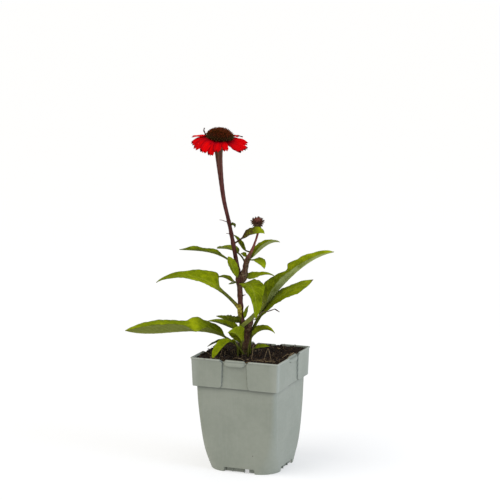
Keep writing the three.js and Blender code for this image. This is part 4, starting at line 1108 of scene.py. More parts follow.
def leaf_shell(row, seed):
    """One leaf as a closed thin shell, with the marks that its colours follow."""
    leaf = {**leaf_habit, **row}
    large = leaf["length"] > 60
    stations, half_columns, fine = (120, 17, 4) if large else (56, 12, 6)

    # The midrib: its run from the seat, with the directions sideways and up at each station.
    t = np.linspace(0, 1, stations * fine + 1)
    first, middle, last = leaf["pitch"]
    pitch = first * (1 - t) * (1 - 2 * t) + middle * 4 * t * (1 - t) + last * t * (2 * t - 1)
    pitch = np.radians(np.clip(pitch, -100, 100))
    heading = np.radians(leaf["heading"] + leaf["turn"] * t)
    along = np.stack([np.cos(pitch) * np.cos(heading), np.cos(pitch) * np.sin(heading), np.sin(pitch)], 1)
    level = np.stack([-np.sin(heading), np.cos(heading), 0 * heading], 1)
    upright = np.cross(along, level)
    roll = np.radians(np.interp(t, (0, 1), leaf["roll"]))[:, None]
    side = level * np.cos(roll) + upright * np.sin(roll)
    up = upright * np.cos(roll) - level * np.sin(roll)
    step = leaf["length"] / (stations * fine)
    place = np.array(leaf["seat"]) + np.vstack([np.zeros(3), np.cumsum(along[1:], 0)]) * step
    place, along, side, up, t = (a[::fine] for a in (place, along, side, up, t))
    if leaf["root"]:
        place = np.vstack([place[0] - along[0] * leaf["root"], place])
        side, up = (np.vstack([a[:1], a]) for a in (side, up))
        t = np.concatenate([[0], t])

    # The outline: half widths by the share along the blade and the side (u from -1 right to 1 left).
    spread = np.linspace(0, 1, half_columns + 1)[1:] ** 1.15
    u = np.concatenate([-spread[::-1], [0], spread])[None]
    out = np.abs(u)
    on_left = u > 0
    blade = np.clip((t - leaf["stalk"]) / (1 - leaf["stalk"]), 0, 1)[:, None]
    grow = np.minimum(1, blade * leaf["opening"])
    if leaf["outline"]:
        table = np.array(leaf["outline"], float)
        right, left = (hermite(table[:, [0, k]], blade) for k in (1, 2))
        profile = np.where(u < 0, right, left) * 2 / leaf["width"]
    else:
        rise = leaf["widest"] / (1 - leaf["widest"]) * leaf["taper"]
        peak = leaf["widest"] ** rise * (1 - leaf["widest"]) ** leaf["taper"]
        profile = blade ** rise * (1 - blade) ** leaf["taper"] / peak
    notch = np.abs(np.mod(blade * 7 + 0.13 * np.sign(u) + seed, 1) - 0.35)
    profile = profile * (1 + leaf["teeth"] * (0.5 - notch) * 2 * grow * (1 - blade))
    ripple = 1 + 0.024 * np.sin(blade * 38 + 5 * np.sign(u) + seed) * grow
    stalk_half = np.maximum(leaf["stalk_width"] / 2 * (1 - 0.75 * blade), 0.3)
    at_seat = hump(t[:, None] * leaf["length"], 0, 4 + 4 * leaf["clasp"]) * (leaf["root"] == 0)
    half = np.maximum(leaf["width"] / 2 * profile * ripple, stalk_half * (1 + leaf["flare"] * at_seat))

    # How the blade is bent: folded along its midrib, waved at its margins and sagging at its dip.
    fold = np.radians(leaf["fold"]) * grow
    size = np.where(on_left, *leaf["wave"]) * grow * (1 - blade)
    swing_by = 2 * np.pi * (leaf["waves"] * blade + leaf["phase"]) + np.where(on_left, 2.2, 0)
    bend = out * np.sin(fold) * half + size * np.sin(swing_by) * out ** 1.5
    if leaf["dip"]:
        centre, reach, depth = leaf["dip"]
        bend = bend - np.where(on_left, depth * hump(blade, centre, reach) * out ** 1.5, 0)

    # Its relief: sunken side veins with puckered skin between them, a grooved midrib, a keel below.
    veins = max(4, leaf["length"] * (1 - leaf["stalk"]) / 9.5)
    from_vein = np.mod((blade - 0.2 * out ** 1.15) * veins + np.where(on_left, 0.5, 0), 1) - 0.5
    pucker = np.cos(from_vein * np.pi) ** 2
    raised = 0.42 * (1 - pucker) * (1 - out ** 3) * out ** 0.5 - 0.16 * hump(from_vein, 0, 0.1)
    cockled = 0.3 * np.sin(blade * 61 + 9 * u + seed) * np.sin(blade * 23 - 7 * u) * out
    relief = np.minimum(half / 9, 1.3) * grow * (1 - blade) ** 0.4 * (raised + cockled)
    relief = relief - 0.3 * hump(u * half, 0, 0.8) * grow * (1 - 0.6 * blade)
    keel = 0.75 * hump(u * half, 0, 0.75) * grow * (1 - 0.75 * blade)

    thick = leaf["stalk_width"] * 0.42 * (1 - grow) + leaf_skin_half * grow
    thick = thick * (0.35 + 0.65 * np.sqrt(np.maximum(1 - u ** 2, 0)))
    channel = 1 - 0.35 * (1 - grow) * hump(u, 0, 0.5)
    middle = place[:, None] + side[:, None] * (half * u * np.cos(fold))[:, :, None]
    rings, lie = two_faced(middle, up[:, None], bend + relief + thick * channel, bend + relief - thick - keel,
                           u, blade)

    # Tone is partly the leaf's own green and partly painted light and shade; sunlit adds a painted highlight.
    tones = np.interp(blade[:, 0], (0, 1), leaf["tone"])
    if leaf["sunlit"]:
        centre, reach, gain = leaf["sunlit"]
        tones = tones + gain * hump(blade[:, 0], centre, reach)
    tones = tones * grow[:, 0] + leaf["stalk_tone"] * (1 - grow[:, 0])
    clasp = np.clip(at_seat * 1.4, 0, 1)[:, 0] * leaf["clasp"]

    def right_across(*values):
        """Marks that change only along the leaf."""
        columns = np.stack([np.broadcast_to(value, len(t)) for value in values], 1)
        return np.broadcast_to(columns[:, None], rings.shape).reshape(-1, 3)

    marks = {"lie": lie, "leaf": right_across(tones, 1 - grow[:, 0], seed),
             "flush": right_across(leaf["red"], leaf["tip"], leaf["grey"]),
             "build": right_across(veins, clasp, leaf["pale"])}
    return loft(rings), {name: for_loft(values) for name, values in marks.items()}


# Where the veins run on a leaf, from its place across (-1 to 1) and along (0 to 1) the blade.
leaf_veins, w, given, out = effect(
    "leaf_veins", {"Across": "Float", "Along": "Float", "Place": "Vector", "Rows": "Float"},
    {"Midrib": "Float", "Side": "Float", "Net": "Float"})
off_rib = w.maths("ABSOLUTE", given["Across"])
w.feed(out["Midrib"], w.minus(1.0, w.between(off_rib, 0.03, 0.13)))
wander = w.times(w.minus(w.noise(given["Place"], 130, 2), 0.5), 0.035)
leaning = w.minus(given["Along"], w.times(w.maths("POWER", off_rib, 1.15), 0.2))
row = w.times(w.plus(leaning, wander), given["Rows"])
staggered = w.plus(row, w.times(w.maths("GREATER_THAN", given["Across"], 0.0), 0.5))
off_vein = w.maths("ABSOLUTE", w.minus(w.maths("FRACT", staggered), 0.5))
w.feed(out["Side"], w.minus(1.0, w.between(off_vein, 0.02, 0.1)))
mesh_cells = w.add("TexVoronoi", {"feature": "DISTANCE_TO_EDGE"}, Vector=given["Place"], Scale=420.0)
w.feed(out["Net"], w.minus(1.0, w.between(mesh_cells.outputs["Distance"], 0.02, 0.12)))

leaf_colours = {
    "shade": (0.042, 0.058, 0.0015), "fresh": (0.150, 0.197, 0.0025), "bright": (0.330, 0.385, 0.004),
    "rib": (0.33, 0.36, 0.045), "under": (0.125, 0.148, 0.018), "under_rib": (0.24, 0.255, 0.07),
    "under_dull": (0.17, 0.19, 0.03), "under_pale": (0.29, 0.32, 0.12), "stalk": (0.085, 0.092, 0.010),
    "stalk_streak": (0.17, 0.18, 0.035), "stalk_pale": (0.30, 0.33, 0.07), "wine": (0.045, 0.013, 0.010),
    "edge": (0.05, 0.055, 0.006), "foot": (0.16, 0.10, 0.015), "foot_yellow": (0.42, 0.36, 0.05),
    "brown": (0.085, 0.030, 0.010),
}

leaf_green, w, shader, place = finish("coneflower_leaf", 0.5, 0.02)
across, along, is_under = w.mark("lie")
tone, is_stalk, seed = w.mark("leaf")
red, tip, grey = w.mark("flush")
rows, clasp, pale = w.mark("build")
shifted = w.add("VectorMath", {"operation": "ADD"})              # no two leaves are patterned alike
w.feed(shifted.inputs[0], place)
w.feed(shifted.inputs[1], w.add("CombineXYZ", X=seed).outputs[0])
own_place = shifted.outputs[0]
veins = place_effect(w, leaf_veins, Across=across, Along=along, Place=own_place, Rows=rows)
patches = w.noise(own_place, 75, 4, 0.6)
blotches = w.noise(own_place, 210, 3, 0.55)
fine_patches = w.noise(own_place, 420, 3, 0.65)
vary = w.plus(w.times(w.minus(patches, 0.5), 1.3), w.times(w.minus(blotches, 0.5), 0.7))
# Painted light and shade: the leaf's tone, with its random patches, sets how light its green is.
level_of_green = w.plus(tone, w.times(vary, 0.8))
low_green = w.mix(w.between(level_of_green, 0.0, 0.55), leaf_colours["shade"], leaf_colours["fresh"])
top_green = w.mix(w.between(level_of_green, 0.45, 1.0), low_green, leaf_colours["bright"])
side_lit = w.laid(top_green, leaf_colours["bright"], veins["Side"], 0.32)
netted = w.laid(side_lit, leaf_colours["bright"], veins["Net"], 0.16)
top_colour = w.laid(netted, leaf_colours["rib"], veins["Midrib"], 0.28)
dulled = w.laid(leaf_colours["under"], leaf_colours["under_dull"], w.between(patches, 0.35, 0.65), 0.5)
under_veins = w.maths("MAXIMUM", veins["Side"], w.times(veins["Net"], 0.5))
under_veined = w.laid(dulled, leaf_colours["under_rib"], under_veins, 0.4)
under_ribbed = w.laid(under_veined, leaf_colours["under_rib"], veins["Midrib"], 0.7)
under_colour = w.laid(under_ribbed, leaf_colours["under_pale"], pale, w.between(patches, 0.25, 0.55))
dull = w.times(is_under, w.plus(w.times(grey, 0.8), 0.15))
blade_colour = w.mix(dull, top_colour, under_colour)
stalk_streak = w.between(w.noise(w.stretched(place, (700, 700, 60)), 1.0, 3, 0.6), 0.4, 0.62)
stalk_colour = w.mix(stalk_streak, leaf_colours["stalk"], leaf_colours["stalk_streak"])
# The stalk's tone too is partly painted light and shade.
stalk_dark = w.mix(w.between(tone, 0.1, 0.5), leaf_colours["shade"], stalk_colour)
stalk_tone = w.mix(w.between(tone, 0.5, 1.0), stalk_dark, leaf_colours["stalk_pale"])
whole = w.mix(is_stalk, blade_colour, stalk_tone)
red_share = w.times(red, w.plus(w.times(is_stalk, 0.6), w.times(w.between(along, 0.8, 0.42), 0.85)))
near_edge = w.between(w.maths("ABSOLUTE", across), 0.5, 0.95)
speckled = w.maths("MAXIMUM", w.between(fine_patches, 0.34, 0.52), near_edge)
reddened = w.laid(whole, leaf_colours["wine"], red_share, speckled)
edge = w.between(w.maths("ABSOLUTE", across), 0.9, 1.0)
edged = w.laid(reddened, leaf_colours["edge"], edge, 0.3)
foot_colour = w.mix(w.between(fine_patches, 0.4, 0.6), leaf_colours["foot"], leaf_colours["foot_yellow"])
clasped = w.mix(clasp, edged, foot_colour)
browned = w.between(w.noise(own_place, 160, 3, 0.7), 0.68, 0.72)
worn = w.plus(w.times(tip, w.between(along, 0.955, 0.99)), w.times(browned, 0.5))
w.feed(shader["Base Color"], w.laid(clasped, leaf_colours["brown"], worn, w.minus(1.0, is_stalk)))
w.feed(shader["Roughness"], w.plus(w.times(fine_patches, 0.24), 0.38))
sunken = w.times(w.maths("MAXIMUM", veins["Net"], veins["Side"]), 0.5)
w.feed(shader["Normal"], w.bump(w.minus(w.times(fine_patches, 0.5), sunken), 0.0005, 0.55))


def sheath(stalk, low, high, facing, reach, bulk):
    """The leaf's foot wrapped round its stem: a curved scale, widest near its top."""
    rings = []
    for share in np.linspace(0, 1, 14):
        height = low + (high - low) * share
        middle = stalk.at(height)
        radius = float(hermite(stalk.girth, height))
        half = math.radians(reach) * math.sin(math.pi * (0.06 + 0.8 * share)) ** 0.8
        across = np.linspace(-1, 1, 15)
        thick = 0.25 + bulk * np.sqrt(1 - across ** 2) * math.sin(math.pi * (0.1 + 0.85 * share))
        ways = spun(1, math.radians(facing) + half * across, 0)
        rings.append(np.vstack([middle + ways * (radius + thick)[:, None],
                                middle + ways[::-1] * (radius - 0.2)]))
    return loft(np.array(rings))


for count, (node, row) in enumerate(leaf_rows.items()):
    leaf = Shells()
    shell, marks = leaf_shell(row, count * 1.7)
    leaf.add(shell, **marks)
    if "sheath" in row:
        leaf.add(sheath(flower_stem, *row["sheath"]), lie=(0.4, 0.1, 0), leaf=(0.6, 1, 5), flush=(0, 0, 0),
                 build=(4, row.get("clasp", 0), 0))
    leaf.piece(node + "_blade", "leaf", leaf_green, node)

# ======================================================================================
# Stem scales and withered growth
# Small pointed scale leaves that have dried dark on the flower stem, and one dead leaf
# stalk, shrunk to a brown thread, that still hangs out from the side shoot.
# ======================================================================================

dry_colours = {"dark": (0.030, 0.016, 0.010), "pale": (0.095, 0.056, 0.032), "wine": (0.030, 0.004, 0.006),
               "wine_pale": (0.10, 0.008, 0.013), "straw": (0.19, 0.16, 0.075)}

dry_brown, w, shader, place = finish("dried_plant_skin", 0.8, 0.15)
redness, straw, _ = w.mark("dry")
shrunk = place_effect(w, mottle, Place=w.stretched(place, (1, 1, 0.3)), Size=420.0,
                      Dark=dry_colours["dark"], Pale=dry_colours["pale"])
wine = w.mix(shrunk["Mask"], dry_colours["wine"], dry_colours["wine_pale"])
reddish = w.mix(redness, shrunk["Color"], wine)
w.feed(shader["Base Color"], w.mix(straw, reddish, dry_colours["straw"]))
w.feed(shader["Normal"], w.bump(w.noise(w.stretched(place, (1, 1, 0.25)), 1300, 4, 0.7), 0.0006, 0.8))

stem_scales = {                           # height on the stem, heading, length, rise in degrees, width
    "scale_upper_left": (290, 205, 11, 14, 1.25),
    "scale_lower_left": (276, 200, 6, 4, 1.25),
    "scale_right": (203, 20, 6.6, 8, 2.4),
}


def blade_along(path, widths, thickness, curl, columns=5):
    """A small narrow blade along a path: (closed shell, its points' places across, along and face)."""
    tangents = sides_of(path)[0]
    u = np.linspace(-1, 1, 2 * columns + 1)[None]
    widths = np.asarray(widths)[:, None]
    cup = -np.asarray(curl) * u ** 2 * widths
    skin_half = thickness * np.sqrt(np.maximum(1 - u ** 2, 0)) + 0.02
    level = np.cross(tangents, [0, 0, 1.0])
    level /= np.linalg.norm(level, axis=1)[:, None]
    upright = np.cross(level, tangents)
    sideways = path[:, None] + level[:, None] * (u * widths)[:, :, None]
    share = np.linspace(0, 1, len(path))[:, None]
    rings, lie = two_faced(sideways, upright[:, None], cup + skin_half, cup - skin_half, u, share)
    return loft(rings), for_loft(lie)


for node, (height, heading, length, rise, width) in stem_scales.items():
    start = flower_stem.at(height)
    out = np.array([math.cos(math.radians(heading)), math.sin(math.radians(heading)),
                    math.tan(math.radians(rise))])
    path = curve_through([start, start + out * length * 0.35, start + out * length * 0.7 + [0, 0, 0.4],
                          start + out * length], 6)
    share = np.linspace(0, 1, len(path))
    scale = Shells()
    shell, _ = blade_along(path, width * (1 - share) ** 0.7 + 0.14, 0.22, 0.5)
    scale.add(shell, dry=(0.55, 0, 0))
    scale.piece(node + "_dried", "stem_scale", dry_brown, node)

strand_path = curve_through([
    (-0.4, -1, 177), (5, -2.4, 175), (10, -2.4, 180), (15.6, -3.2, 185), (21.6, -3.2, 186),
    (27, -1.4, 188), (30.2, -0.6, 189.2), (32.6, 0, 187.8), (35.2, 0.8, 185.8)], 9)
strand_share = np.linspace(0, 1, len(strand_path))
strand = Shells()
strand_width = 1 + 0.5 * hump(strand_share, 0.74, 0.16) + 0.35 * hump(strand_share, 0, 0.1)
strand_width *= 1 - 0.6 * smooth(strand_share, 0.86, 1)
shell, lie = blade_along(strand_path, strand_width, 0.45, 0.5 * np.sin(strand_share * 9)[:, None])
along = lie[:, 1]
strand.add(shell, dry=np.stack([0.1 + 0 * along, 0.75 * smooth(along, 0.75, 0.2), 0 * along], 1))
strand.piece("withered_strand_dried", "dry_growth", dry_brown, "withered_strand")

# ======================================================================================
# Flower head
# A dome of stiff, dark, pointed scales over a green rim, ringed by sixteen drooping ray
# florets. Two rows of green bracts clasp the florets' roots where the stem widens.
# ======================================================================================

head_place = (-33.5, -13.5, 389)
head_nod = 13
head_facing = -48
neck_radius = 11

head_turn = np.array(Matrix.Rotation(math.radians(head_facing), 3, "Z")
                     @ Matrix.Rotation(math.radians(head_nod), 3, "Y"))


def on_head(shell):
    """A shell made upright at the flower head's middle, moved to its nodding place on the stem."""
    return shell[0] @ head_turn.T + head_place, shell[1]


def turned(profile, corners, ripple=0.0, ripples=0):
    """A closed body turned about the middle, its wall rippled if asked."""
    around = all_round(corners)
    wave = 1 + ripple * np.cos(ripples * around)
    return loft([spun(r * wave, around, z) for r, z in profile])


def scale_marks(heights, corners, *own):
    """Marks of one pointed scale: how far up it each point is, then its own values."""
    up = for_loft(np.repeat(heights, corners)[:, None])
    return np.column_stack([up] + [np.full(len(up), value) for value in own])


def way(angle):
    """Level, in this direction."""
    return np.array([math.cos(angle), math.sin(angle), 0])


cone_core = [(0.2, -2.6), (neck_radius - 0.3, -2.6), (neck_radius - 0.3, -0.9), (13.6, -0.9), (15.1, -0.1),
             (15.3, 1.2), (14.6, 3.4), (12.6, 5.6), (9.4, 7.4), (5.2, 8.5), (0.2, 8.9)]
cone_top = [(0, 8.9), (4, 8.6), (7, 8.1), (10.5, 6.7), (13, 4.6), (14.8, 2.1), (15.6, -0.2)]
cone_lean = [(0, 0.1), (7, 0.45), (13, 1.0), (15.6, 1.4)]        # distance out, lean outwards in radians
scale_growth = [(0, 0.65), (0.12, 1), (1, 1)]                    # the scales in the middle are still short
cone_edge = 15.6
cone_scales = 330
cone_scale_radii = (0.66, 0.8, 0.52, 0.06)
golden_turn = math.pi * (3 - math.sqrt(5))                       # from each scale to the next
cone_colours = {
    "dark": (0.016, 0.0036, 0.0008), "dark_brown": (0.038, 0.008, 0.0012), "ember": (0.10, 0.022, 0.003),
    "ember_light": (0.20, 0.060, 0.006), "rim": (0.020, 0.022, 0.004), "rim_tip": (0.045, 0.042, 0.010),
    "rust": (0.125, 0.018, 0.005),
}

cone = Shells()
cone.add(on_head(turned(cone_core, 72)), cone=(0, 0, 0))
dice = np.random.default_rng(7)
for k in range(cone_scales):
    share = (k + 0.5) / cone_scales
    distance = cone_edge * math.sqrt(share)
    lean_out = float(straight(cone_lean, distance))
    out = way(k * golden_turn)
    normal = out * math.sin(lean_out) + np.array([0, 0, math.cos(lean_out)])
    upward = out * math.sin(lean_out * 0.62) + np.array([0, 0, math.cos(lean_out * 0.62)])
    foot = out * distance + [0, 0, straight(cone_top, distance)] - normal * 0.6
    length = (1.9 + 0.5 * dice.random()) * float(straight(scale_growth, share))
    middle = foot + normal * length * 0.6
    tip = middle + upward * length * 0.75
    shell = thread(np.array([foot, foot * 0.4 + middle * 0.6, middle, tip]), cone_scale_radii)
    rim = float(smooth(share, 0.72, 0.92))
    cone.add(on_head(shell), cone=scale_marks([0, 0.35, 0.65, 1], 6, rim, dice.random()))

dark_cone, w, shader, place = finish("dark_cone_scales", 0.6, 0.03)
scale_height, rim, own = w.mark("cone")
near_black = w.mix(own, cone_colours["dark"], cone_colours["dark_brown"])
ember = w.mix(own, cone_colours["ember"], cone_colours["ember_light"])
tipped = w.laid(near_black, ember, w.between(scale_height, 0.45, 1.0), 0.6)
green_rim = w.mix(scale_height, cone_colours["rim"], cone_colours["rim_tip"])
rusty = w.laid(tipped, cone_colours["rust"], w.between(own, 0.55, 0.75), 0.8)
w.feed(shader["Base Color"], w.laid(rusty, green_rim, rim, 0.85))
w.feed(shader["Normal"], w.bump(w.noise(place, 1800, 3), 0.0003, 0.6))
cone.piece("cone_scales", "flower_cone", dark_cone, "flower_cone")

cup_profile = [(0.3, -13.6), (4.4, -13.6), (5.0, -11.4), (5.8, -9.2), (7.6, -6.8), (10.0, -4.9), (11.4, -3.8),
               (11.2, -2.95), (0.3, -2.95)]
# bracts in the row, how far out and how high they start, length, rise in degrees, offset in the row
cup_bract_rows = [(18, 9.2, -5.0, 6.4, -8, 0.0), (18, 7.4, -7.4, 6.2, -24, 0.5)]
cup_colours = {"dark": (0.048, 0.060, 0.014), "pale": (0.115, 0.135, 0.035), "tip": (0.065, 0.020, 0.018),
               "edge": (0.15, 0.17, 0.06)}


def bract_marks(lie):
    """Marks of one bract: how near the tip, how near the edge, and which face."""
    return np.stack([lie[:, 1], abs(lie[:, 0]), lie[:, 2]], 1)


cup = Shells()
cup.add(on_head(turned(cup_profile, 96, 0.025, 16)), bract=(0.1, 0, 0))
for count, start, level, length, rise, offset in cup_bract_rows:
    for k in range(count):
        out = way((k + offset) / count * 2 * math.pi)
        s = np.linspace(0, 1, 12)
        heights = level + math.radians(rise) * length * s + 1.2 * np.sin(s * 2.6)
        path = out * (start + length * s * 0.9)[:, None] + [0, 0, 1] * heights[:, None]
        widths = 1.35 * (1 - s) ** 0.75 * (0.75 + 0.8 * s) + 0.06
        shell, lie = blade_along(path, widths, 0.22, 0.35, 4)
        cup.add(on_head(shell), bract=bract_marks(lie))

bract_green, w, shader, place = finish("green_bracts", 0.6, 0.06)
to_tip, to_edge, _ = w.mark("bract")
cup_skin = place_effect(w, mottle, Place=place, Size=260.0, Dark=cup_colours["dark"],
                        Pale=cup_colours["pale"])
bract_tip = w.laid(cup_skin["Color"], cup_colours["tip"], w.between(to_tip, 0.5, 1.0), 0.65)
w.feed(shader["Base Color"], w.laid(bract_tip, cup_colours["edge"], w.between(to_edge, 0.6, 1.0), 0.4))
w.feed(shader["Normal"], w.bump(w.noise(place, 1500, 3), 0.0004, 0.6))
cup.piece("green_cup", "involucre", bract_green, "involucre")

# direction round the head, length, hang below level, width, seat, sideways tilt in degrees
ray_rows = [
    (-26, 15.6, 38, 9.8, -1.3, 4), (-44, 19.6, 52, 8.6, -1.9, -4), (-65, 20, 43, 11.2, -1.3, -14),
    (-86, 22.6, 35, 10.6, -0.7, -22), (-115, 22.4, 26, 10.4, -1.9, -20), (-131, 23, 13, 9, -0.5, 4),
    (-152, 21, 24, 9.2, -1.5, -8), (-173, 21, 20, 9.2, -0.7, 0), (166, 20, 32, 9, -1.5, 0),
    (145, 21.5, 28, 9, -0.7, 0), (124, 20, 26, 9, -1.5, 5), (82, 10, 2, 6, 2.2, 0),
    (67, 21, 13, 9.6, -0.4, 20), (51, 23, 18, 9.8, -1.9, 20), (31, 23.6, 14, 11, -2.6, 19),
    (-1, 15, 33, 7.4, -0.8, 8),
]
ray_widths = [(0, 0.42), (0.12, 0.66), (0.3, 0.9), (0.5, 1), (0.7, 1), (0.86, 0.92), (1, 0.7)]
ray_skin_half = 0.16
ray_steps = 160
dry_tipped = {4, 13}
ray_colours = {
    "red": (0.60, 0.0004, 0.0012), "red_light": (0.80, 0.0008, 0.0006), "crimson": (0.30, 0.0015, 0.010),
    "crimson_light": (0.42, 0.001, 0.008), "pleat": (0.26, 0.0008, 0.006), "rim": (0.22, 0.0008, 0.006),
    "back": (0.33, 0.0015, 0.012), "back_nerve": (0.22, 0.001, 0.010), "dried": (0.050, 0.003, 0.006),
}


def ray_shell(angle, length, droop, width, seat, tilt, seed):
    """One ray floret: a two-pleated strap that bends down and ends in two or three teeth."""
    luck = np.random.default_rng(seed)
    outward = way(math.radians(angle))
    side = np.array([-outward[1], outward[0], 0])
    pitch = -math.radians(droop) * (0.1 + 1.65 * np.linspace(0, 1, ray_steps + 1))
    along = outward[None] * np.cos(pitch)[:, None] + np.sin(pitch)[:, None] * np.array([0, 0, 1.0])
    up = np.cross(along, side)
    path = outward * (neck_radius - 0.6) + [0, 0, seat] + np.cumsum(along, 0) * (length + 2.6) / ray_steps
    u = np.linspace(-1, 1, 23)
    t = np.linspace(0, 1, 38)

    # The toothed end: each line of the strap stops a little sooner or later than the next.
    three_teeth = seed % 3 == 0
    middle_tooth = luck.uniform(-0.12, 0.12)
    across_teeth = (u - middle_tooth) * (0.9 if three_teeth else 1.3) + (0.5 if three_teeth else 0)
    notches = abs(across_teeth % 1 - 0.5) * 2
    reach = 1 - 0.2 * (1 - notches) ** 1.2 - 0.05 * abs(u) ** 3 - 0.015 * luck.random(len(u))
    where = t[:, None] * reach[None]
    low = np.minimum((where * ray_steps).astype(int), ray_steps - 1)
    part = (where * ray_steps - low)[:, :, None]
    middle, upward = (run[low] * (1 - part) + run[low + 1] * part for run in (path, up))

    # Across the strap: pleated, arched and a little twisted.
    half = width / 2 * hermite(ray_widths, where) * (1 + 0.03 * np.sin(where * 17 + seed))
    twist = math.radians(luck.uniform(-7, 7)) * where + math.radians(tilt) * smooth(where, 0, 0.35)
    pleats = 0.34 * np.cos(u * math.pi * 2)[None] * np.minimum(where * 4, 1) * (1 - 0.35 * where)
    arch = -0.75 * (u ** 2)[None] * np.minimum(where * 3, 1) * (1 - 0.5 * smooth(where, 0.75, 1))
    wave = 0.22 * np.sin(where * 15 + 2 * u[None] + seed) * abs(u)[None]
    lift = pleats + arch + wave + np.sin(twist) * u[None] * half
    thin = ray_skin_half * (1 - 0.5 * smooth(where, 0.85, 1)) * (0.3 + 0.7 * np.sqrt(1 - u[None] ** 2))
    sideways = middle + side[None, None] * (u[None] * half * np.cos(twist))[:, :, None]
    rings, lie = two_faced(sideways, upward, lift + thin, lift - thin, u[None], where)
    return loft(rings), for_loft(lie)


scarlet, w, shader, place = finish("scarlet_ray_floret", 0.6, 0.015)
across, along, is_under = w.mark("lie")
own, dried, _ = w.mark("ray")
clear_red = w.mix(own, ray_colours["red"], ray_colours["red_light"])
crimson = w.mix(own, ray_colours["crimson"], ray_colours["crimson_light"])
ragged = w.plus(along, w.times(w.minus(w.noise(place, 260, 3), 0.5), 0.25))
bloom = w.laid(clear_red, crimson, w.between(ragged, 0.5, 0.12), 0.8)
line_place = w.add("CombineXYZ", X=w.times(across, 9.0), Y=w.times(along, 1.6), Z=own)
nerves = w.between(w.noise(line_place.outputs[0], 1.0, 2, 0.5), 0.45, 0.62)
nerved = w.laid(bloom, crimson, nerves, 0.3)
# Painted shade: darker red in the two pleat grooves of each floret.
off_pleat = w.maths("ABSOLUTE", w.minus(w.maths("ABSOLUTE", across), 0.5))
pleat_shaded = w.laid(nerved, ray_colours["pleat"], w.between(off_pleat, 0.14, 0.0), 0.5)
# Painted shade: deep crimson along the edges of each floret that its neighbour covers.
overlap_shade = w.maths("MAXIMUM", w.between(across, -0.5, -0.95), w.times(w.between(across, 0.8, 1.0), 0.7))
overlap_shaded = w.laid(pleat_shaded, ray_colours["rim"], overlap_shade, 0.75)
back = w.mix(nerves, ray_colours["back"], ray_colours["back_nerve"])
backed = w.laid(overlap_shaded, back, is_under, 0.75)
tip_dark = w.plus(w.times(w.between(along, 0.93, 1.0), 0.3), w.times(dried, w.between(along, 0.84, 0.95)))
w.feed(shader["Base Color"], w.mix(tip_dark, backed, ray_colours["dried"]))
w.feed(shader["Roughness"], w.plus(w.times(nerves, 0.15), 0.45))
w.feed(shader["Normal"], w.bump(w.plus(nerves, w.times(w.noise(place, 1500, 3), 0.4)), 0.00025, 0.7))

for k, row in enumerate(ray_rows):
    ray = Shells()
    shell, lie = ray_shell(*row, k + 3)
    ray.add(on_head(shell), lie=lie, ray=((k * 0.37) % 1, 0.9 if k in dry_tipped else 0, 0))
    number = f"{k + 1:02d}"
    ray.piece("scarlet_ray_" + number, "ray_floret", scarlet, "ray_floret_" + number)

dried_rays = {
    "withered_floret_left": [(-5.2, -10.8, -0.9), (-8.2, -13.9, -0.4), (-8.7, -15.4, 2.6), (-8.9, -16.9, 5.8),
                             (-8.3, -16.7, 9)],
    "withered_floret_right": [(-0.6, 12.6, 0.2), (-0.4, 17, 1.2), (0.6, 22, 1.2), (2, 27.5, 0)],
}
for node, knots in dried_rays.items():
    path = curve_through(knots)
    share = np.linspace(0, 1, len(path))
    radii = 1.15 * (1 - 0.5 * share) * (1 + 0.2 * np.sin(share * 21))
    wisp = Shells()
    wisp.add(on_head(thread(path, radii, 8)), dry=(0.85, 0, 0))
    wisp.piece(node + "_dried", "withered_floret", dry_brown, node)

# ======================================================================================
# Bud
# An unopened head on its own branch: a ball of tight young scales, pinkish in the middle,
# bristling all round with stiff dark bracts that curl out at their tips.
# ======================================================================================

bud_place = np.array([5, 8, 289.6])
bud_nod = np.array(Matrix.Rotation(math.radians(30), 3, Vector(view_right)))
bud_reach = 5.6                           # half the width and half the height of the ball of young scales
bud_rise = 3.6
bud_core = 0.94                           # how much of the ball is solid under its scales
bud_scales = 170
bud_colours = {
    "heart": (0.33, 0.13, 0.085), "heart_deep": (0.18, 0.05, 0.035), "shoulder": (0.07, 0.03, 0.018),
    "shoulder_light": (0.13, 0.055, 0.03), "foot": (0.03, 0.01, 0.008), "bract_dark": (0.045, 0.024, 0.012),
    "bract_pale": (0.12, 0.075, 0.038), "bract_tip": (0.040, 0.010, 0.008), "bract_edge": (0.16, 0.08, 0.045),
}


def on_bud(shell):
    """A shell made upright at the bud's middle, moved to its place on the bud stem."""
    return shell[0] @ bud_nod.T + bud_place, shell[1]


bud = Shells()
ball = [(bud_reach * math.sin(a) * bud_core + 0.02, -bud_rise * math.cos(a) * bud_core)
        for a in np.linspace(0.02, math.pi - 0.02, 20)]
bud.add(on_bud(turned(ball, 40)), cone=(0.1, 0, 0.4))
scale_stations = np.array([0, 0.3, 0.65, 1])
scale_radii = np.array([0.85, 1, 0.55, 0.08]) * 0.5
for k in range(bud_scales):
    share = (k + 0.5) / bud_scales
    polar = math.acos(1 - 1.1 * share)
    normal = way(k * golden_turn) * math.sin(polar) + [0, 0, math.cos(polar)]
    foot = normal * [bud_reach - 0.7, bud_reach - 0.7, bud_rise - 0.7]
    grown = (normal * 0.8 + [0, 0, 0.35]) * (1.5 + 0.5 * dice.random())
    shell = thread(foot + grown * scale_stations[:, None], scale_radii)
    bud.add(on_bud(shell), cone=scale_marks(scale_stations, 6, share, dice.random()))

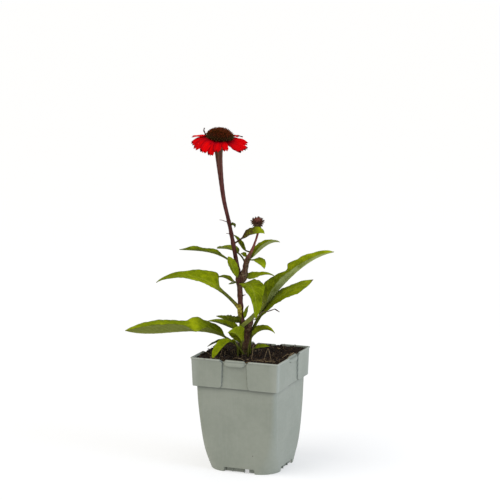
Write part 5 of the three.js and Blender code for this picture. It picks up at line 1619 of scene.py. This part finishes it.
bud_scale_skin, w, shader, place = finish("young_bud_scales", 0.6, 0.06)
scale_height, outer, own = w.mark("cone")
heart = w.mix(own, bud_colours["heart"], bud_colours["heart_deep"])
shoulder = w.mix(own, bud_colours["shoulder"], bud_colours["shoulder_light"])
scale_body = w.mix(w.between(outer, 0.02, 0.4), heart, shoulder)
w.feed(shader["Base Color"], w.laid(scale_body, bud_colours["foot"], w.between(scale_height, 0.5, 0.0), 0.7))
w.feed(shader["Normal"], w.bump(w.noise(place, 1500, 3), 0.0003, 0.6))
bud.piece("bud_scales", "bud", bud_scale_skin, "bud_head")

bud_cup = [(0.4, -5.6), (2.4, -5.5), (4.0, -4.7), (5.1, -3.3), (5.7, -1.5), (5.8, -0.2), (5.4, 0.3), (4.9, 0),
           (4.8, -1.6), (4.0, -3.3), (2.4, -4.3), (0.4, -4.7)]
# bracts in the rank, how far out and how high they start, length, rise in degrees, offset in the rank
bract_ranks = [(13, 4.3, 1.2, 2.9, 50, 0.0), (14, 4.9, 0.3, 3.3, 30, 0.5), (14, 5.2, -0.9, 3.1, 8, 0.2),
               (12, 4.6, -2.6, 3.0, -16, 0.6), (10, 3.4, -3.8, 2.6, -34, 0.1)]

collar = Shells()
collar.add(on_bud(turned(bud_cup, 48, 0.03, 12)), bract=(0.15, 0, 0))
for count, start, level, length, rise, offset in bract_ranks:
    for k in range(count):
        out = way((k + offset) / count * 2 * math.pi + 0.16 * dice.standard_normal())
        reach = length * (0.8 + 0.4 * dice.random())
        climb = math.radians(rise + 10 * dice.standard_normal())
        curl = dice.uniform(-0.8, 0.6)
        s = np.linspace(0, 1, 9)
        heights = level + reach * s * math.sin(climb) + curl * s ** 2.5
        path = out * (start + reach * s * math.cos(climb))[:, None] + [0, 0, 1] * heights[:, None]
        shell, lie = blade_along(path, 1.05 * (1 - s) ** 0.7 + 0.12, 0.26, 0.5, 3)
        collar.add(on_bud(shell), bract=bract_marks(lie))

bud_bract_skin, w, shader, place = finish("dark_bud_bracts", 0.6, 0.06)
to_tip, to_edge, _ = w.mark("bract")
bract_skin = place_effect(w, mottle, Place=place, Size=330.0, Dark=bud_colours["bract_dark"],
                          Pale=bud_colours["bract_pale"])
bract_end = w.laid(bract_skin["Color"], bud_colours["bract_tip"], w.between(to_tip, 0.35, 1.0), 0.7)
w.feed(shader["Base Color"], w.laid(bract_end, bud_colours["bract_edge"], w.between(to_edge, 0.5, 1.0), 0.35))
w.feed(shader["Normal"], w.bump(w.noise(place, 1500, 3), 0.0004, 0.6))
collar.piece("bud_bract_ring", "bud_bracts", bud_bract_skin, "bud_bracts")
